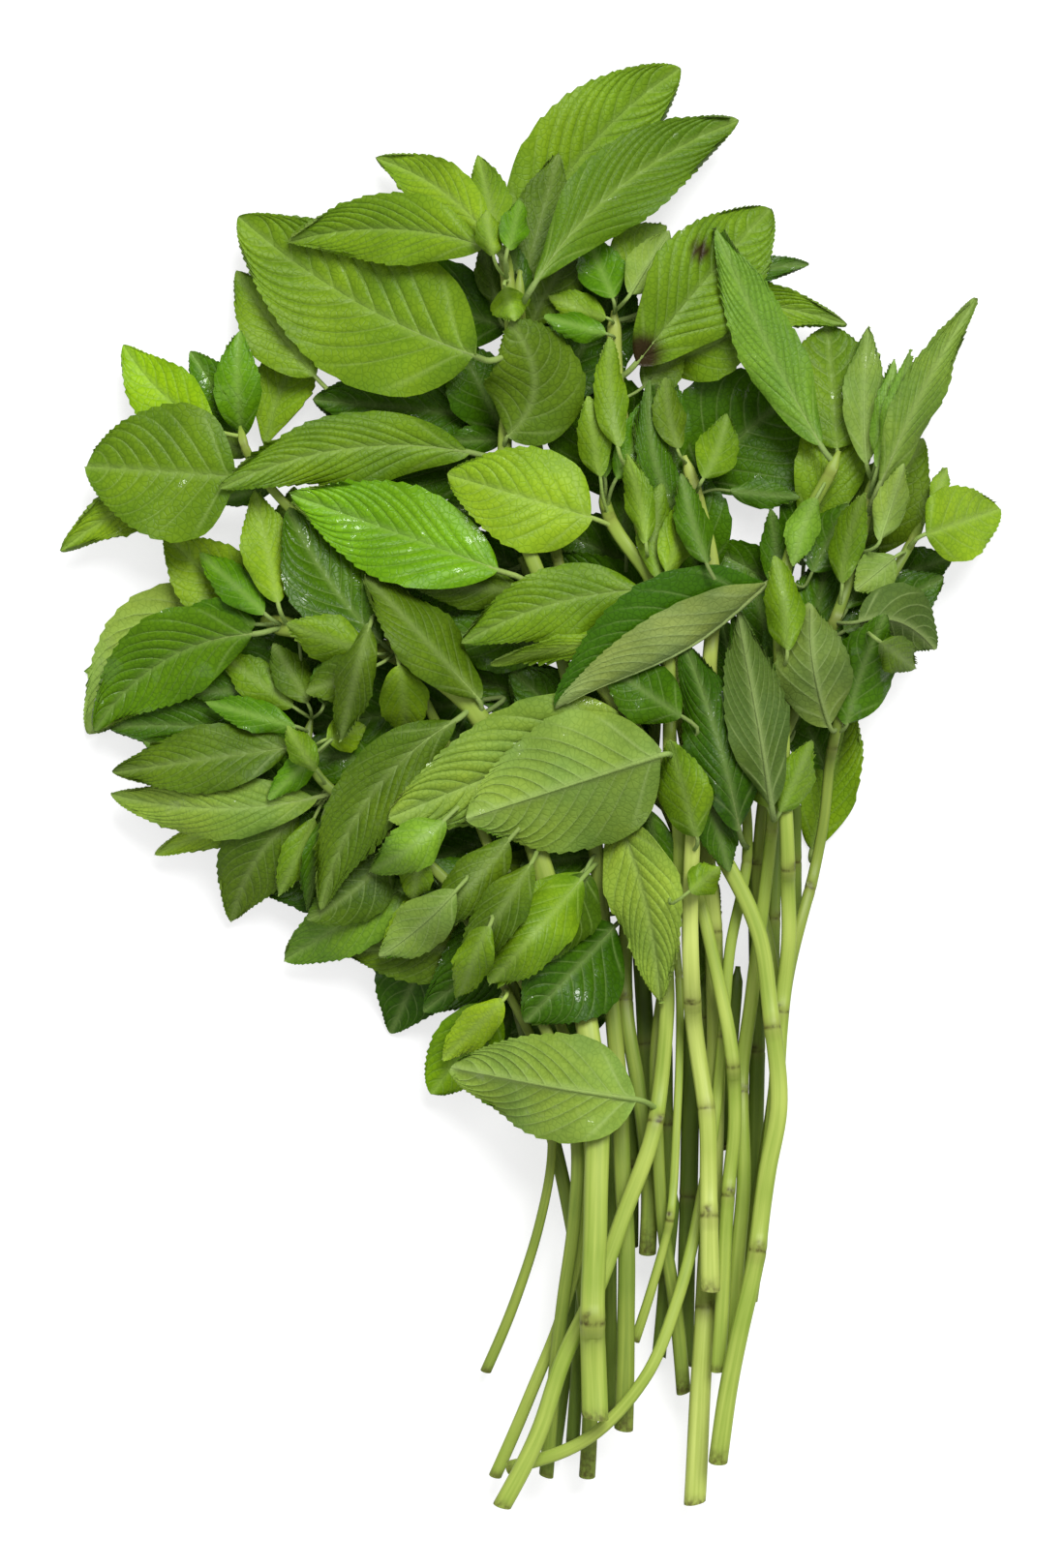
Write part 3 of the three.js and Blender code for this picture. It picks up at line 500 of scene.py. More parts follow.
@dataclass(frozen=True)
class BladeFinish(Finish):
    """Fresh mint leaf: waxy and quilted above, paler, matt and finely felted below.

    Attributes:
        face: Colour of the upper side.
        back: Colour of the lower side.
        roughness: Of the upper side; a wet or young leaf is smoother.
        gloss: How strongly it mirrors; the usual leaf is dulled by its fine hairs.
        wet: How much of it still has a film of water from the washing, from 0 to 1.
    """

    face: str
    back: str = "#839e4c"
    roughness: float = 0.4
    gloss: float = 0.22
    wet: float = 0.25

    def looks(self, tree: Tree) -> Inputs:
        """Works out the colour, gloss and relief of both sides.

        Args:
            tree: The material's node tree.

        Returns:
            What goes into its shader.
        """
        place = add_node(tree, "TexCoord", output="Object")
        upper, vein, blight = (
            add_node(tree, "Attribute", output="Fac", attribute_name=name)
            for name in ("upper", "vein", "blight")
        )
        net = self.vein_net(tree, place)
        cloud = self.cloud(tree, place)
        face = self.side_colour(tree, cloud, self.face, vein, net, Side.UPPER)
        back = self.side_colour(tree, cloud, self.back, vein, net, Side.LOWER)
        sides = add_node(tree, "Mix", {SHARE: upper, FIRST: back, SECOND: face}, MIXED, **MIX)
        colour = {SHARE: blight, FIRST: sides, SECOND: linear(BLIGHT)}
        film = self.film(tree, place)
        sunk = add_node(tree, "Bump", {"Height": net, "Strength": 0.35, "Distance": 0.12 * MM},
                        invert=True)
        uneven = add_node(tree, "TexNoise", {"Vector": place, "Scale": 1 / (BEAD_SIZE * MM)})
        beaded = add_node(tree, "Bump", {
            "Height": uneven,
            "Strength": add_node(tree, "MapRange", (film, 0, 1, 0, 0.7)),
            "Distance": 0.5 * MM,
            "Normal": sunk,
        })
        return {
            "Base Color": add_node(tree, "Mix", colour, MIXED, **MIX),
            "Roughness": add_node(tree, "MapRange", (upper, 0, 1, BACK_ROUGHNESS, self.roughness)),
            "IOR": LEAF_IOR,
            "Specular IOR Level": self.gloss,
            "Normal": beaded,
            "Coat Weight": film,
            "Coat Roughness": WATER_ROUGHNESS,
            "Coat Normal": beaded,
        }

    def film(self, tree: Tree, place: Socket) -> Socket:
        """Makes the patches of water that glint on the leaf.

        Args:
            tree: The material's node tree.
            place: The point's place on the leaf.

        Returns:
            1 where it's wet, and 0 elsewhere.
        """
        noise = add_node(tree, "TexNoise",
                         {"Vector": place, "Scale": 1 / (FILM_SIZE * MM), "Detail": 5.0})
        edge = 0.74 - 0.18 * self.wet  # little of the noise is above the first of these
        return add_node(tree, "MapRange", (noise, edge, edge + 0.03, 0, 1))

    def vein_net(self, tree: Tree, place: Socket) -> Socket:
        """Makes the net of the finest veins.

        Args:
            tree: The material's node tree.
            place: The point's place on the leaf.

        Returns:
            1 on a vein, and 0 beside it.
        """
        cells = add_node(tree, "TexVoronoi", {"Vector": place, "Scale": 1 / (NET_MESH * MM)},
                         feature="DISTANCE_TO_EDGE")
        return add_node(tree, "MapRange", (cells, 0.02, 0.16, 1, 0))

    def cloud(self, tree: Tree, place: Socket) -> tuple[Socket, Socket]:
        """Makes two soft patterns, so that no leaf has one flat colour.

        Args:
            tree: The material's node tree.
            place: The point's place on the leaf.

        Returns:
            How light it is there, shifted by the leaf's tone and by painted shade and highlight on
            its quilting, and how yellow.
        """
        tone = add_node(tree, "Attribute", output="Fac", attribute_name="tone")
        crest = add_node(tree, "Attribute", output="Fac", attribute_name="crest")
        noise = add_node(tree, "TexNoise", {"Vector": place, "Scale": 1 / (CLOUD_SIZE * MM),
                                            "Detail": 4.0}, "Color")
        red = add_node(tree, "SeparateColor", (noise,), "Red")
        light = add_node(tree, "Math", (tone, red), operation="ADD")
        # Painted shade and highlight: the grooves between the bulges are darkened and the crests
        # lightened.
        shift = add_node(tree, "MapRange", (crest, 0, 1, -0.07, 0.07))  # grooves are darker
        raised = add_node(tree, "Math", (shift, light), operation="ADD")
        return (add_node(tree, "MapRange", (raised, 0.15, 0.85, 0, 1)),
                add_node(tree, "MapRange", (red.node.outputs["Green"], 0.35, 0.65, 0, 1)))

    def side_colour(self, tree: Tree, cloud: tuple[Socket, Socket], shade: str, vein: Socket,
                    net: Socket, side: Side) -> Socket:
        """Colours one side: clouded, lighter or darker as the leaf's tone says, with its veins.

        Args:
            tree: The material's node tree.
            cloud: The two patterns that the method of that name makes.
            shade: The side's own colour.
            vein: 1 on the midrib and the side veins.
            net: 1 on the finest veins.
            side: Which side it is, which says how far its veins stand out.

        Returns:
            The colour.
        """
        light, yellow = cloud
        own = linear(shade)
        fine, pale, bold = side.value
        ends = [add_node(tree, "Mix", {SHARE: 1.0, FIRST: own, SECOND: tint}, MIXED, **MULTIPLY)
                for tint in (DEEPEST, PALEST)]
        lit = add_node(tree, "Mix", {SHARE: light, FIRST: ends[0], SECOND: ends[1]}, MIXED, **MIX)
        warm = add_node(tree, "Mix", {SHARE: yellow, FIRST: COOLEST, SECOND: WARMEST}, MIXED, **MIX)
        base = add_node(tree, "Mix", {SHARE: 1.0, FIRST: lit, SECOND: warm}, MIXED, **MULTIPLY)
        netted = {SHARE: add_node(tree, "MapRange", (net, 0, 1, 0, fine)), FIRST: base, SECOND: own}
        veined = {
            SHARE: add_node(tree, "MapRange", (vein, 0, 1, 0, bold)),
            FIRST: add_node(tree, "Mix", netted, MIXED, **MULTIPLY),
            SECOND: add_node(tree, "Mix", {SHARE: pale, FIRST: own, SECOND: linear(VEIN_PALE)},
                             MIXED, **MIX),
        }
        return add_node(tree, "Mix", veined, MIXED, **MIX)


@dataclass(frozen=True)
class StemFinish(Finish):
    """Fresh mint stem: smooth, faintly ribbed skin with brown scars and a pithy cut end.

    Attributes:
        skin: Colour of most of the skin.
        shade: Colour of the streaks, and of the skin near the leaves.
    """

    skin: str
    shade: str

    def looks(self, tree: Tree) -> Inputs:
        """Works out the colour, gloss and relief of the skin and the cut end.

        Args:
            tree: The material's node tree.

        Returns:
            What goes into its shader.
        """
        straight = add_node(tree, "Attribute", output="Vector", attribute_name="straight")
        green, node, scar, pith = (
            add_node(tree, "Attribute", output="Fac", attribute_name=name)
            for name in ("green", "node", "scar", "pith")
        )
        drawn = add_node(tree, "Mapping", {"Vector": straight, "Scale": (1, 1, STREAK_SQUEEZE)})
        streaks = add_node(tree, "TexNoise", {"Vector": drawn, "Scale": 1 / (STREAK_WIDTH * MM),
                                              "Detail": 3.0})
        patch = add_node(tree, "TexNoise", {"Vector": straight, "Scale": 1 / (PATCH_LENGTH * MM)})
        both = add_node(tree, "Math", (streaks, patch), operation="ADD")
        flecks = add_node(tree, "TexNoise", {"Vector": straight, "Scale": 1 / (FLECK_SIZE * MM),
                                             "Detail": 3.0})
        broken = add_node(tree, "MapRange", (flecks, 0.38, 0.62, 0.35, 1))
        layers = (
            (add_node(tree, "MapRange", (both, 0.7, 1.25, 0, 1)), self.skin),
            (green, self.shade),
            (add_node(tree, "MapRange", (node, 0, 1, 0, 0.35)), NODE_TINT),
            (add_node(tree, "Math", (scar, broken), operation="MULTIPLY"), SCAR),
            (pith, PITH),
        )
        colour: Socket | tuple[float, ...] = linear(self.shade)
        for share, shade in layers:
            colour = add_node(tree, "Mix", {SHARE: share, FIRST: colour, SECOND: linear(shade)},
                              MIXED, **MIX)
        return {
            "Base Color": colour,
            "Roughness": 0.4,
            "IOR": LEAF_IOR,
            "Specular IOR Level": 0.3,
            "Normal": add_node(tree, "Bump", {"Height": streaks, "Strength": 0.25,
                                              "Distance": 0.12 * MM}),
        }


class Leafage(Enum):
    """The kinds of leaf in the bunch, by what their sides look like."""

    MEADOW = BladeFinish("mint_leaf_meadow", "#7a9e20")
    GRASS = BladeFinish("mint_leaf_grass", "#70941b")
    BRIGHT = BladeFinish("mint_leaf_bright", "#6ea310", roughness=0.34, wet=0.8)
    GLOSSY = BladeFinish("mint_leaf_glossy", "#568008", roughness=0.3, wet=0.8)
    # Most of the leaves laid deep in the pile take this finish: its dark colour is partly their own
    # and partly painted shade.
    DARK = BladeFinish("mint_leaf_dark", "#46700e", "#5b7432", roughness=0.34, gloss=0.16, wet=0.7)
    FOLDED = BladeFinish("mint_leaf_folded", "#3c6a08", "#8fa468", roughness=0.38)
    OLIVE = BladeFinish("mint_leaf_olive", "#5c7a17", roughness=0.46)
    LIGHT = BladeFinish("mint_leaf_light", "#8aae24", "#93b050")
    YELLOW = BladeFinish("mint_leaf_young", "#86b20c", "#93b048", roughness=0.38)
    BLUISH = BladeFinish("mint_leaf_bluish", "#729c34", "#7f9c50")
    PALE = BladeFinish("mint_leaf_pale", "#8aa846", "#8ea45c", roughness=0.5, wet=0.5)
    BACK_WARM = BladeFinish("mint_leaf_turned_warm", "#56801a", "#82a04c", wet=0.55)
    BACK_GREY = BladeFinish("mint_leaf_turned_grey", "#4a6f1c", "#6c8440")


class Bark(Enum):
    """The kinds of stem in the bunch."""

    PALE = StemFinish("mint_stem_pale", "#cfdc78", "#a4b650")
    LIGHT = StemFinish("mint_stem_light", "#bbcb62", "#8aa43c")
    GREEN = StemFinish("mint_stem_green", "#a2b24e", "#728a34")
    # The side stems, which lie low in the pile, take this finish: its darker colour is partly their
    # own and partly painted shade.
    DEEP = StemFinish("mint_stem_deep", "#80963a", "#5c7428")


class Slot(Enum):
    """The record's material slots."""

    BRIGHT = "leaf_bright"
    MATURE = "leaf_mature"
    DARK = "leaf_dark"
    OLIVE = "leaf_olive"
    LIGHT = "leaf_light"
    BLUISH = "leaf_bluish"
    UNDERSIDE = "leaf_underside"
    STEM_LIGHT = "stem_light"
    STEM_GREEN = "stem_green"


# The usual finish of each slot.
USUAL: dict[Slot, Leafage | Bark] = {
    Slot.BRIGHT: Leafage.BRIGHT,
    Slot.MATURE: Leafage.GRASS,
    Slot.DARK: Leafage.DARK,
    Slot.OLIVE: Leafage.OLIVE,
    Slot.LIGHT: Leafage.LIGHT,
    Slot.BLUISH: Leafage.BLUISH,
    Slot.UNDERSIDE: Leafage.BACK_WARM,
    Slot.STEM_LIGHT: Bark.LIGHT,
    Slot.STEM_GREEN: Bark.GREEN,
}


# ---- Meshes


SHARP = math.radians(50)  # only the rims of blades and cut ends turn by more than this


def add_cylinder(bm: bmesh.types.BMesh, sides: int, rings: int) -> None:
    """Adds a closed cylinder of radius 1 from z = 0 to 1, cut into evenly spaced rings.

    Args:
        bm: The mesh to add it to.
        sides: Corners round it.
        rings: Rings along it, with both ends.
    """
    made = bmesh.ops.create_cone(bm, cap_ends=True, cap_tris=False, segments=sides,
                                 radius1=1, radius2=1, depth=1)
    edges = dict.fromkeys(edge for vert in made["verts"] for edge in vert.link_edges)
    upright = [e for e in edges if abs(e.verts[0].co.z - e.verts[1].co.z) > 0.5]
    bmesh.ops.translate(bm, vec=(0, 0, 0.5), verts=made["verts"])
    bmesh.ops.subdivide_edges(bm, edges=upright, cuts=rings - 2)


def add_slab(bm: bmesh.types.BMesh, columns: int, rows: int) -> None:
    """Adds a closed slab from -1 to 1 in x and y and from 0 to 1 in z, cut into a grid.

    Args:
        bm: The mesh to add it to.
        columns: Corners in x.
        rows: Corners in y.
    """
    bmesh.ops.create_grid(bm, x_segments=columns - 1, y_segments=rows - 1, size=1)
    top = bmesh.ops.extrude_face_region(bm, geom=bm.faces[:], use_keep_orig=True)["geom"]
    raised = [item for item in top if isinstance(item, bmesh.types.BMVert)]
    bmesh.ops.translate(bm, vec=(0, 0, 1), verts=raised)
    bmesh.ops.recalc_face_normals(bm, faces=bm.faces)


def nearest_index(places: np.ndarray, count: int) -> np.ndarray:
    """Which of count evenly spaced values from 0 to 1 each place is at."""
    return np.rint(places * (count - 1)).astype(int)


def bend(points: np.ndarray, centres: np.ndarray, reach: np.ndarray) -> np.ndarray:
    """Bends the points of a cylinder round a line.

    Args:
        points: The cylinder's points, with its axis along z from 0 to 1.
        centres: The line's points, one for each of the cylinder's rings.
        reach: Distance of each point from the line where the cylinder's radius is 1.

    Returns:
        The bent points.
    """
    heading = unit(np.gradient(centres, axis=0))
    side = unit(np.cross(heading, (0, 0, 1)))
    top = np.cross(side, heading)
    ring = nearest_index(points[:, 2], len(centres))
    out = side[ring] * points[:, :1] + top[ring] * points[:, 1:2]
    return centres[ring] + out * reach[:, None]


def write_mesh(bm: bmesh.types.BMesh, name: str) -> tuple[bpy.types.Mesh, np.ndarray]:
    """Writes a mesh and frees the one that it was made in.

    Args:
        bm: The mesh as it was made.
        name: The name of the new mesh.

    Returns:
        The new mesh, and its corners, one row each.
    """
    mesh = bpy.data.meshes.new(name)
    bm.to_mesh(mesh)
    bm.free()
    flat = np.empty(len(mesh.vertices) * 3)
    mesh.vertices.foreach_get("co", flat)
    return mesh, flat.reshape(-1, 3)


def add_object(name: str, data: bpy.types.ID) -> bpy.types.Object:
    """Adds an object that shows a mesh, a lamp or a camera.

    Args:
        name: The object's name.
        data: What it shows.

    Returns:
        The object.
    """
    made = bpy.data.objects.new(name, data)
    bpy.context.scene.collection.objects.link(made)
    return made


def finish_piece(mesh: bpy.types.Mesh, points: np.ndarray, marks: dict[str, np.ndarray],
                 finish: Finish) -> bpy.types.Object:
    """Puts a mesh in its place, dresses it and hangs it on the frame.

    Args:
        mesh: The mesh, whose name becomes the piece's name.
        points: The place of each corner, in millimetres.
        marks: Attributes of the corners by name, each one number or a vector a corner.
        finish: Its finish.

    Returns:
        The new piece.
    """
    mesh.vertices.foreach_set("co", (points * MM).ravel())
    for name, values in marks.items():
        kind, key = ("FLOAT", "value") if values.ndim == 1 else ("FLOAT_VECTOR", "vector")
        mesh.attributes.new(name, kind, "POINT").data.foreach_set(key, values.ravel())
    mesh.materials.append(finish.material())
    mesh.polygons.foreach_set("use_smooth", [True] * len(mesh.polygons))
    mesh.set_sharp_from_angle(angle=SHARP)
    mesh.update()
    piece = add_object(mesh.name, mesh)
    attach(piece, BODY)
    triangles = sum(len(polygon.vertices) - 2 for polygon in mesh.polygons)
    log.info("%s: %d triangles", piece.name, triangles)
    return piece


@dataclass
class Stem:
    """A bare square stem with its swollen nodes, leaf scars and cut end.

    Attributes:
        name: The piece's name.
        rings: Rows of x, y, z and radius, from the cut end to the growing tip.
        bark: Its finish.
        slot: The record's material slot; not used.
        dry: Length of the browned end.
        turn: Shifts the pattern of this stem against the others.
        sides: Corners round it.
        pitch: Distance between its rings away from the nodes.
        node_pitch: Distance between its rings near a node.
        node_length: How far from a node's middle they are so close.
        squareness: How far its four corners stand out, over the radius.
        uneven: How much it thickens, over the radius, and how slowly: all round, then to one side.
        node_ridge: How far a node's skin swells beyond the plain solid's, over the radius.
        node_width: How far from a node's middle it swells.
        node_groove: Depth of the fine line round a node.
        groove_width: Half the width of that line.
        scar_height: How far a leaf scar stands out.
        scar_place: How far above a node's middle its leaf scars are.
        scar_size: Half the width and half the height of a leaf scar.
        tip_length: Length of the tapered tip.
        tip_taper: How much of the radius is lost there.
        rind: Widths of the two rings round the cut end's middle, over the radius.
        slant: How obliquely the foot is cut.
        slant_reach: How far along the skin that is felt.
        hollow: Depth of the cut end's middle.
    """

    name: str
    rings: np.ndarray
    bark: Bark
    slot: Slot
    dry: float = 1.2
    turn: float = 0.0
    sides: int = 18
    pitch: float = 2.0
    node_pitch: float = 0.45
    node_length: float = 3.2
    squareness: float = 0.08
    uneven: tuple[tuple[float, float], ...] = ((0.025, 11), (0.02, 4.7))
    node_ridge: float = 0.05
    node_width: float = 2.3
    node_groove: float = 0.1
    groove_width: float = 0.4
    scar_height: float = 0.25
    scar_place: float = 0.9
    scar_size: tuple[float, float] = (0.8, 0.7)
    tip_length: float = 4.0
    tip_taper: float = 0.6
    rind: tuple[float, float] = (0.2, 0.35)
    slant: float = 0.45
    slant_reach: float = 2.5
    hollow: float = 1.1

    @property
    def marks(self) -> np.ndarray:
        """Distance of each ring from the cut end."""
        return chord_marks(self.rings[:, :3])

    @property
    def swollen(self) -> np.ndarray:
        """Finds the nodes.

        Returns:
            True for each ring in the middle of a node.
        """
        radius = self.rings[:, 3]
        found = np.zeros(len(radius), bool)
        found[1:-1] = radius[1:-1] > NODE_RATIO * 0.5 * (radius[:-2] + radius[2:])
        return found

    def nearest(self, point: np.ndarray) -> np.ndarray:
        """Finds where the stem passes closest to a point.

        Args:
            point: The point.

        Returns:
            The nearest point of the stem's centre line.
        """
        marks = self.marks
        line = smooth_curve(self.rings[:, :3], marks, np.arange(0, marks[-1], 0.5))
        return line[np.argmin(np.linalg.norm(line - point, axis=1))]

    def places(self) -> np.ndarray:
        """Works out where the fine rings lie: close together at the nodes and the ends.

        Returns:
            The distance of each from the cut end.
        """
        marks = self.marks
        close = np.arange(-self.node_length, self.node_length + self.node_pitch, self.node_pitch)
        special = [*marks[self.swollen], 0, marks[-1]]
        found = np.concatenate([at + close for at in special])
        even = np.arange(0, marks[-1], self.pitch)
        apart = np.abs(even[:, None] - found[None, :]).min(axis=1) > self.pitch / 2
        every = np.sort(np.concatenate([found, even[apart], [0, marks[-1]]]))
        every = every[(every >= 0) & (every <= marks[-1])]
        keep = np.concatenate([[True], np.diff(every) > self.node_pitch / 3])
        keep[-1] = True
        return every[keep]

    def build(self) -> bpy.types.Object:
        """Makes the stem.

        Returns:
            The new piece.
        """
        at = self.places()
        bm = bmesh.new()
        add_cylinder(bm, self.sides, len(at))
        cut = [face for face in bm.faces if face.normal.z < -0.5]
        for width in self.rind:
            bmesh.ops.inset_region(bm, faces=cut, thickness=width, use_even_offset=True)
        mesh, local = write_mesh(bm, self.name)
        points, marks = self.shape(local, at)
        return finish_piece(mesh, points, marks, self.bark.value)

    def shape(self, local: np.ndarray, at: np.ndarray) -> tuple[np.ndarray, dict[str, np.ndarray]]:
        """Bends the cylinder into the stem.

        Args:
            local: The points of a cylinder with one ring for each place in at.
            at: The distance of each ring from the cut end.

        Returns:
            The stem's points and its attributes.
        """
        marks, swollen = self.marks, self.swollen
        ring = nearest_index(local[:, 2], len(at))
        along = at[ring]
        angle = np.arctan2(local[:, 1], local[:, 0])
        inside = 1 - np.minimum(np.hypot(local[:, 0], local[:, 1]), 1)  # 0 on the skin
        at_foot = local[:, 2] < 0.5
        usual = np.interp(along, marks[~swollen], self.rings[~swollen, 3])
        (all_round, slow), (one_side, quick) = self.uneven
        wobble = 1 + all_round * np.sin(along / slow + self.turn)
        wobble = wobble + one_side * np.sin(along / quick + angle)
        radius = usual * wobble * (1 + self.squareness * np.cos(4 * angle + math.pi))
        away = along[:, None] - marks[swollen][None, :]
        radius = radius * (1 + self.node_ridge * hump(away, self.node_width).sum(axis=1))
        radius -= self.node_groove * hump(away, self.groove_width).sum(axis=1)
        scar = self.scars(away, angle, usual)
        radius = radius + self.scar_height * scar * (inside <= 0)
        taper = 1 - self.tip_taper * ease(along, marks[-1] - self.tip_length, marks[-1])
        line = smooth_curve(self.rings[:, :3], marks, at)
        points = bend(local, line, radius * taper)
        heading = unit(np.gradient(line, axis=0))[ring]
        slanted = np.cos(angle + self.turn) * (1 - inside) * np.exp(-along / self.slant_reach)
        sunk = self.slant * usual * slanted + self.hollow * inside * at_foot
        points += heading * sunk[:, None]
        share = along / marks[-1]
        lower = 1 - 0.75 * ease(share, 0.45, 0.8)  # the scars are freshest near the leaves
        straight = np.stack([np.cos(angle) * usual, np.sin(angle) * usual, along], axis=1)
        ringed = 0.8 * hump(away, 0.3).sum(axis=1)
        return points, {
            "scar": np.clip((scar + ringed) * lower + 0.8 * hump(along, self.dry), 0, 1),
            "node": np.clip(hump(away, 1.7).sum(axis=1), 0, 1),
            "pith": np.clip(inside * 3, 0, 1) * at_foot,
            "green": 0.15 + 0.6 * ease(share, 0.4, 0.85),
            "straight": straight * MM,
        }

    def scars(self, away: np.ndarray, angle: np.ndarray, radius: np.ndarray) -> np.ndarray:
        """How strongly each point lies on a leaf scar, a pair to a node, crosswise to the next.

        Args:
            away: Distance along the stem to each node.
            angle: The points' angle round the stem.
            radius: The stem's usual radius there.

        Returns:
            Numbers from 0 to 1, one for each point.
        """
        half_width, half_height = self.scar_size
        found = np.zeros(len(angle))
        for number in range(away.shape[1]):
            turned = 2 * (angle - self.turn - number * math.pi / 2)
            sideways = radius * np.abs(np.arctan2(np.sin(turned), np.cos(turned))) / 2
            above = away[:, number] - self.scar_place
            found = np.maximum(found, hump(sideways, half_width) * hump(above, half_height))
        return found


@dataclass(frozen=True)
class Rows:
    """The rows of a blade's grid, which follow its side veins.

    Attributes:
        along: Where each row starts on the midrib, from 0 to 1.
        vein: 1 for a row on a side vein.
        swell: How far the blade bulges there, from 0 on a vein to 1 halfway to the next.
        tooth: Height of the margin's teeth there, from 0 in a notch to 1.
    """

    along: np.ndarray
    vein: np.ndarray
    swell: np.ndarray
    tooth: np.ndarray


@dataclass(frozen=True)
class Venation:
    """The side veins and teeth of a mint leaf.

    Attributes:
        spacing: Distance that each further pair of side veins takes on the midrib.
        fewest: Pairs of side veins in a small leaf.
        most: Pairs in a big leaf.
        first: Place of the first pair along the midrib, from 0 to 1.
        last: Place of the last pair.
        fan: Lower spreads the side veins near a blade's foot further apart at the margin.
        sweep: Higher makes every side vein end nearer to the tip.
        bend: How much each side vein curves.
        steps: Where the grid's rows lie, from one vein to the next.
        teeth: Teeth of the margin from one vein to the next.
        foot_rows: Rows before the first vein.
        tip_rows: Rows after the last vein.
    """

    spacing: float = 5.6
    fewest: int = 5
    most: int = 10
    first: float = 0.03
    last: float = 0.84
    fan: float = 0.5
    sweep: float = 1.6
    bend: float = 0.3
    steps: tuple[float, ...] = (0, 0.07, 0.18, 0.34, 0.5, 0.66, 0.82, 0.93)
    teeth: int = 2
    foot_rows: int = 7
    tip_rows: int = 11

    def rows(self, length: float) -> Rows:
        """Lays out the rows of a blade.

        Args:
            length: Of the blade.

        Returns:
            Its rows.
        """
        pairs = int(np.clip(round(2 + length / self.spacing), self.fewest, self.most))
        feet = np.linspace(self.first, self.last, pairs)
        steps = np.array(self.steps)
        gap = feet[1] - feet[0]
        between = (feet[:-1, None] + gap * steps).ravel()
        phase = np.tile(steps, pairs - 1)
        foot = self.first * (np.arange(self.foot_rows) / self.foot_rows) ** 3
        count = np.arange(self.tip_rows + 1)
        t = count / self.tip_rows
        tip = self.last + (1 - self.last) * t
        beside = np.minimum(phase, 1 - phase)
        still = np.zeros(self.foot_rows)
        bulge = np.sin(math.pi * phase**0.85)
        return Rows(
            along=np.concatenate([foot, between, tip]),
            vein=np.concatenate([still, hump(beside, 0.05), t == 0]),
            swell=np.concatenate([still, bulge, 0.5 * np.sin(math.pi * t)]),
            tooth=np.concatenate([still, phase * self.teeth % 1, count % 3 / 3]),
        )

    def sweep_up(self, start: np.ndarray, far: np.ndarray) -> np.ndarray:
        """Follows the side veins outwards.

        Args:
            start: Where each leaves the midrib, from 0 to 1.
            far: Distance from the midrib, from 0 to 1 at the margin.

        Returns:
            How far along the blade each is by then.
        """
        ends = 1 - (1 - start**self.fan) ** self.sweep
        swept = far * (1 - self.bend + self.bend * far)
        return start + (ends - start) * swept


@dataclass(frozen=True)
class LeafLook:
    """How one leaf looks.

    Attributes:
        kind: Its finish, or None for the usual one of its slot.
        tone: How much lighter it is than its kind; 0.4 is a lot.
        folded: Share of the right half that the left half covers, if it's folded over it.
        blight: Brown spots, each a place in plan and a radius.
    """

    kind: Leafage | None = None
    tone: float = 0
    folded: float = 0
    blight: tuple[tuple[float, float, float], ...] = ()


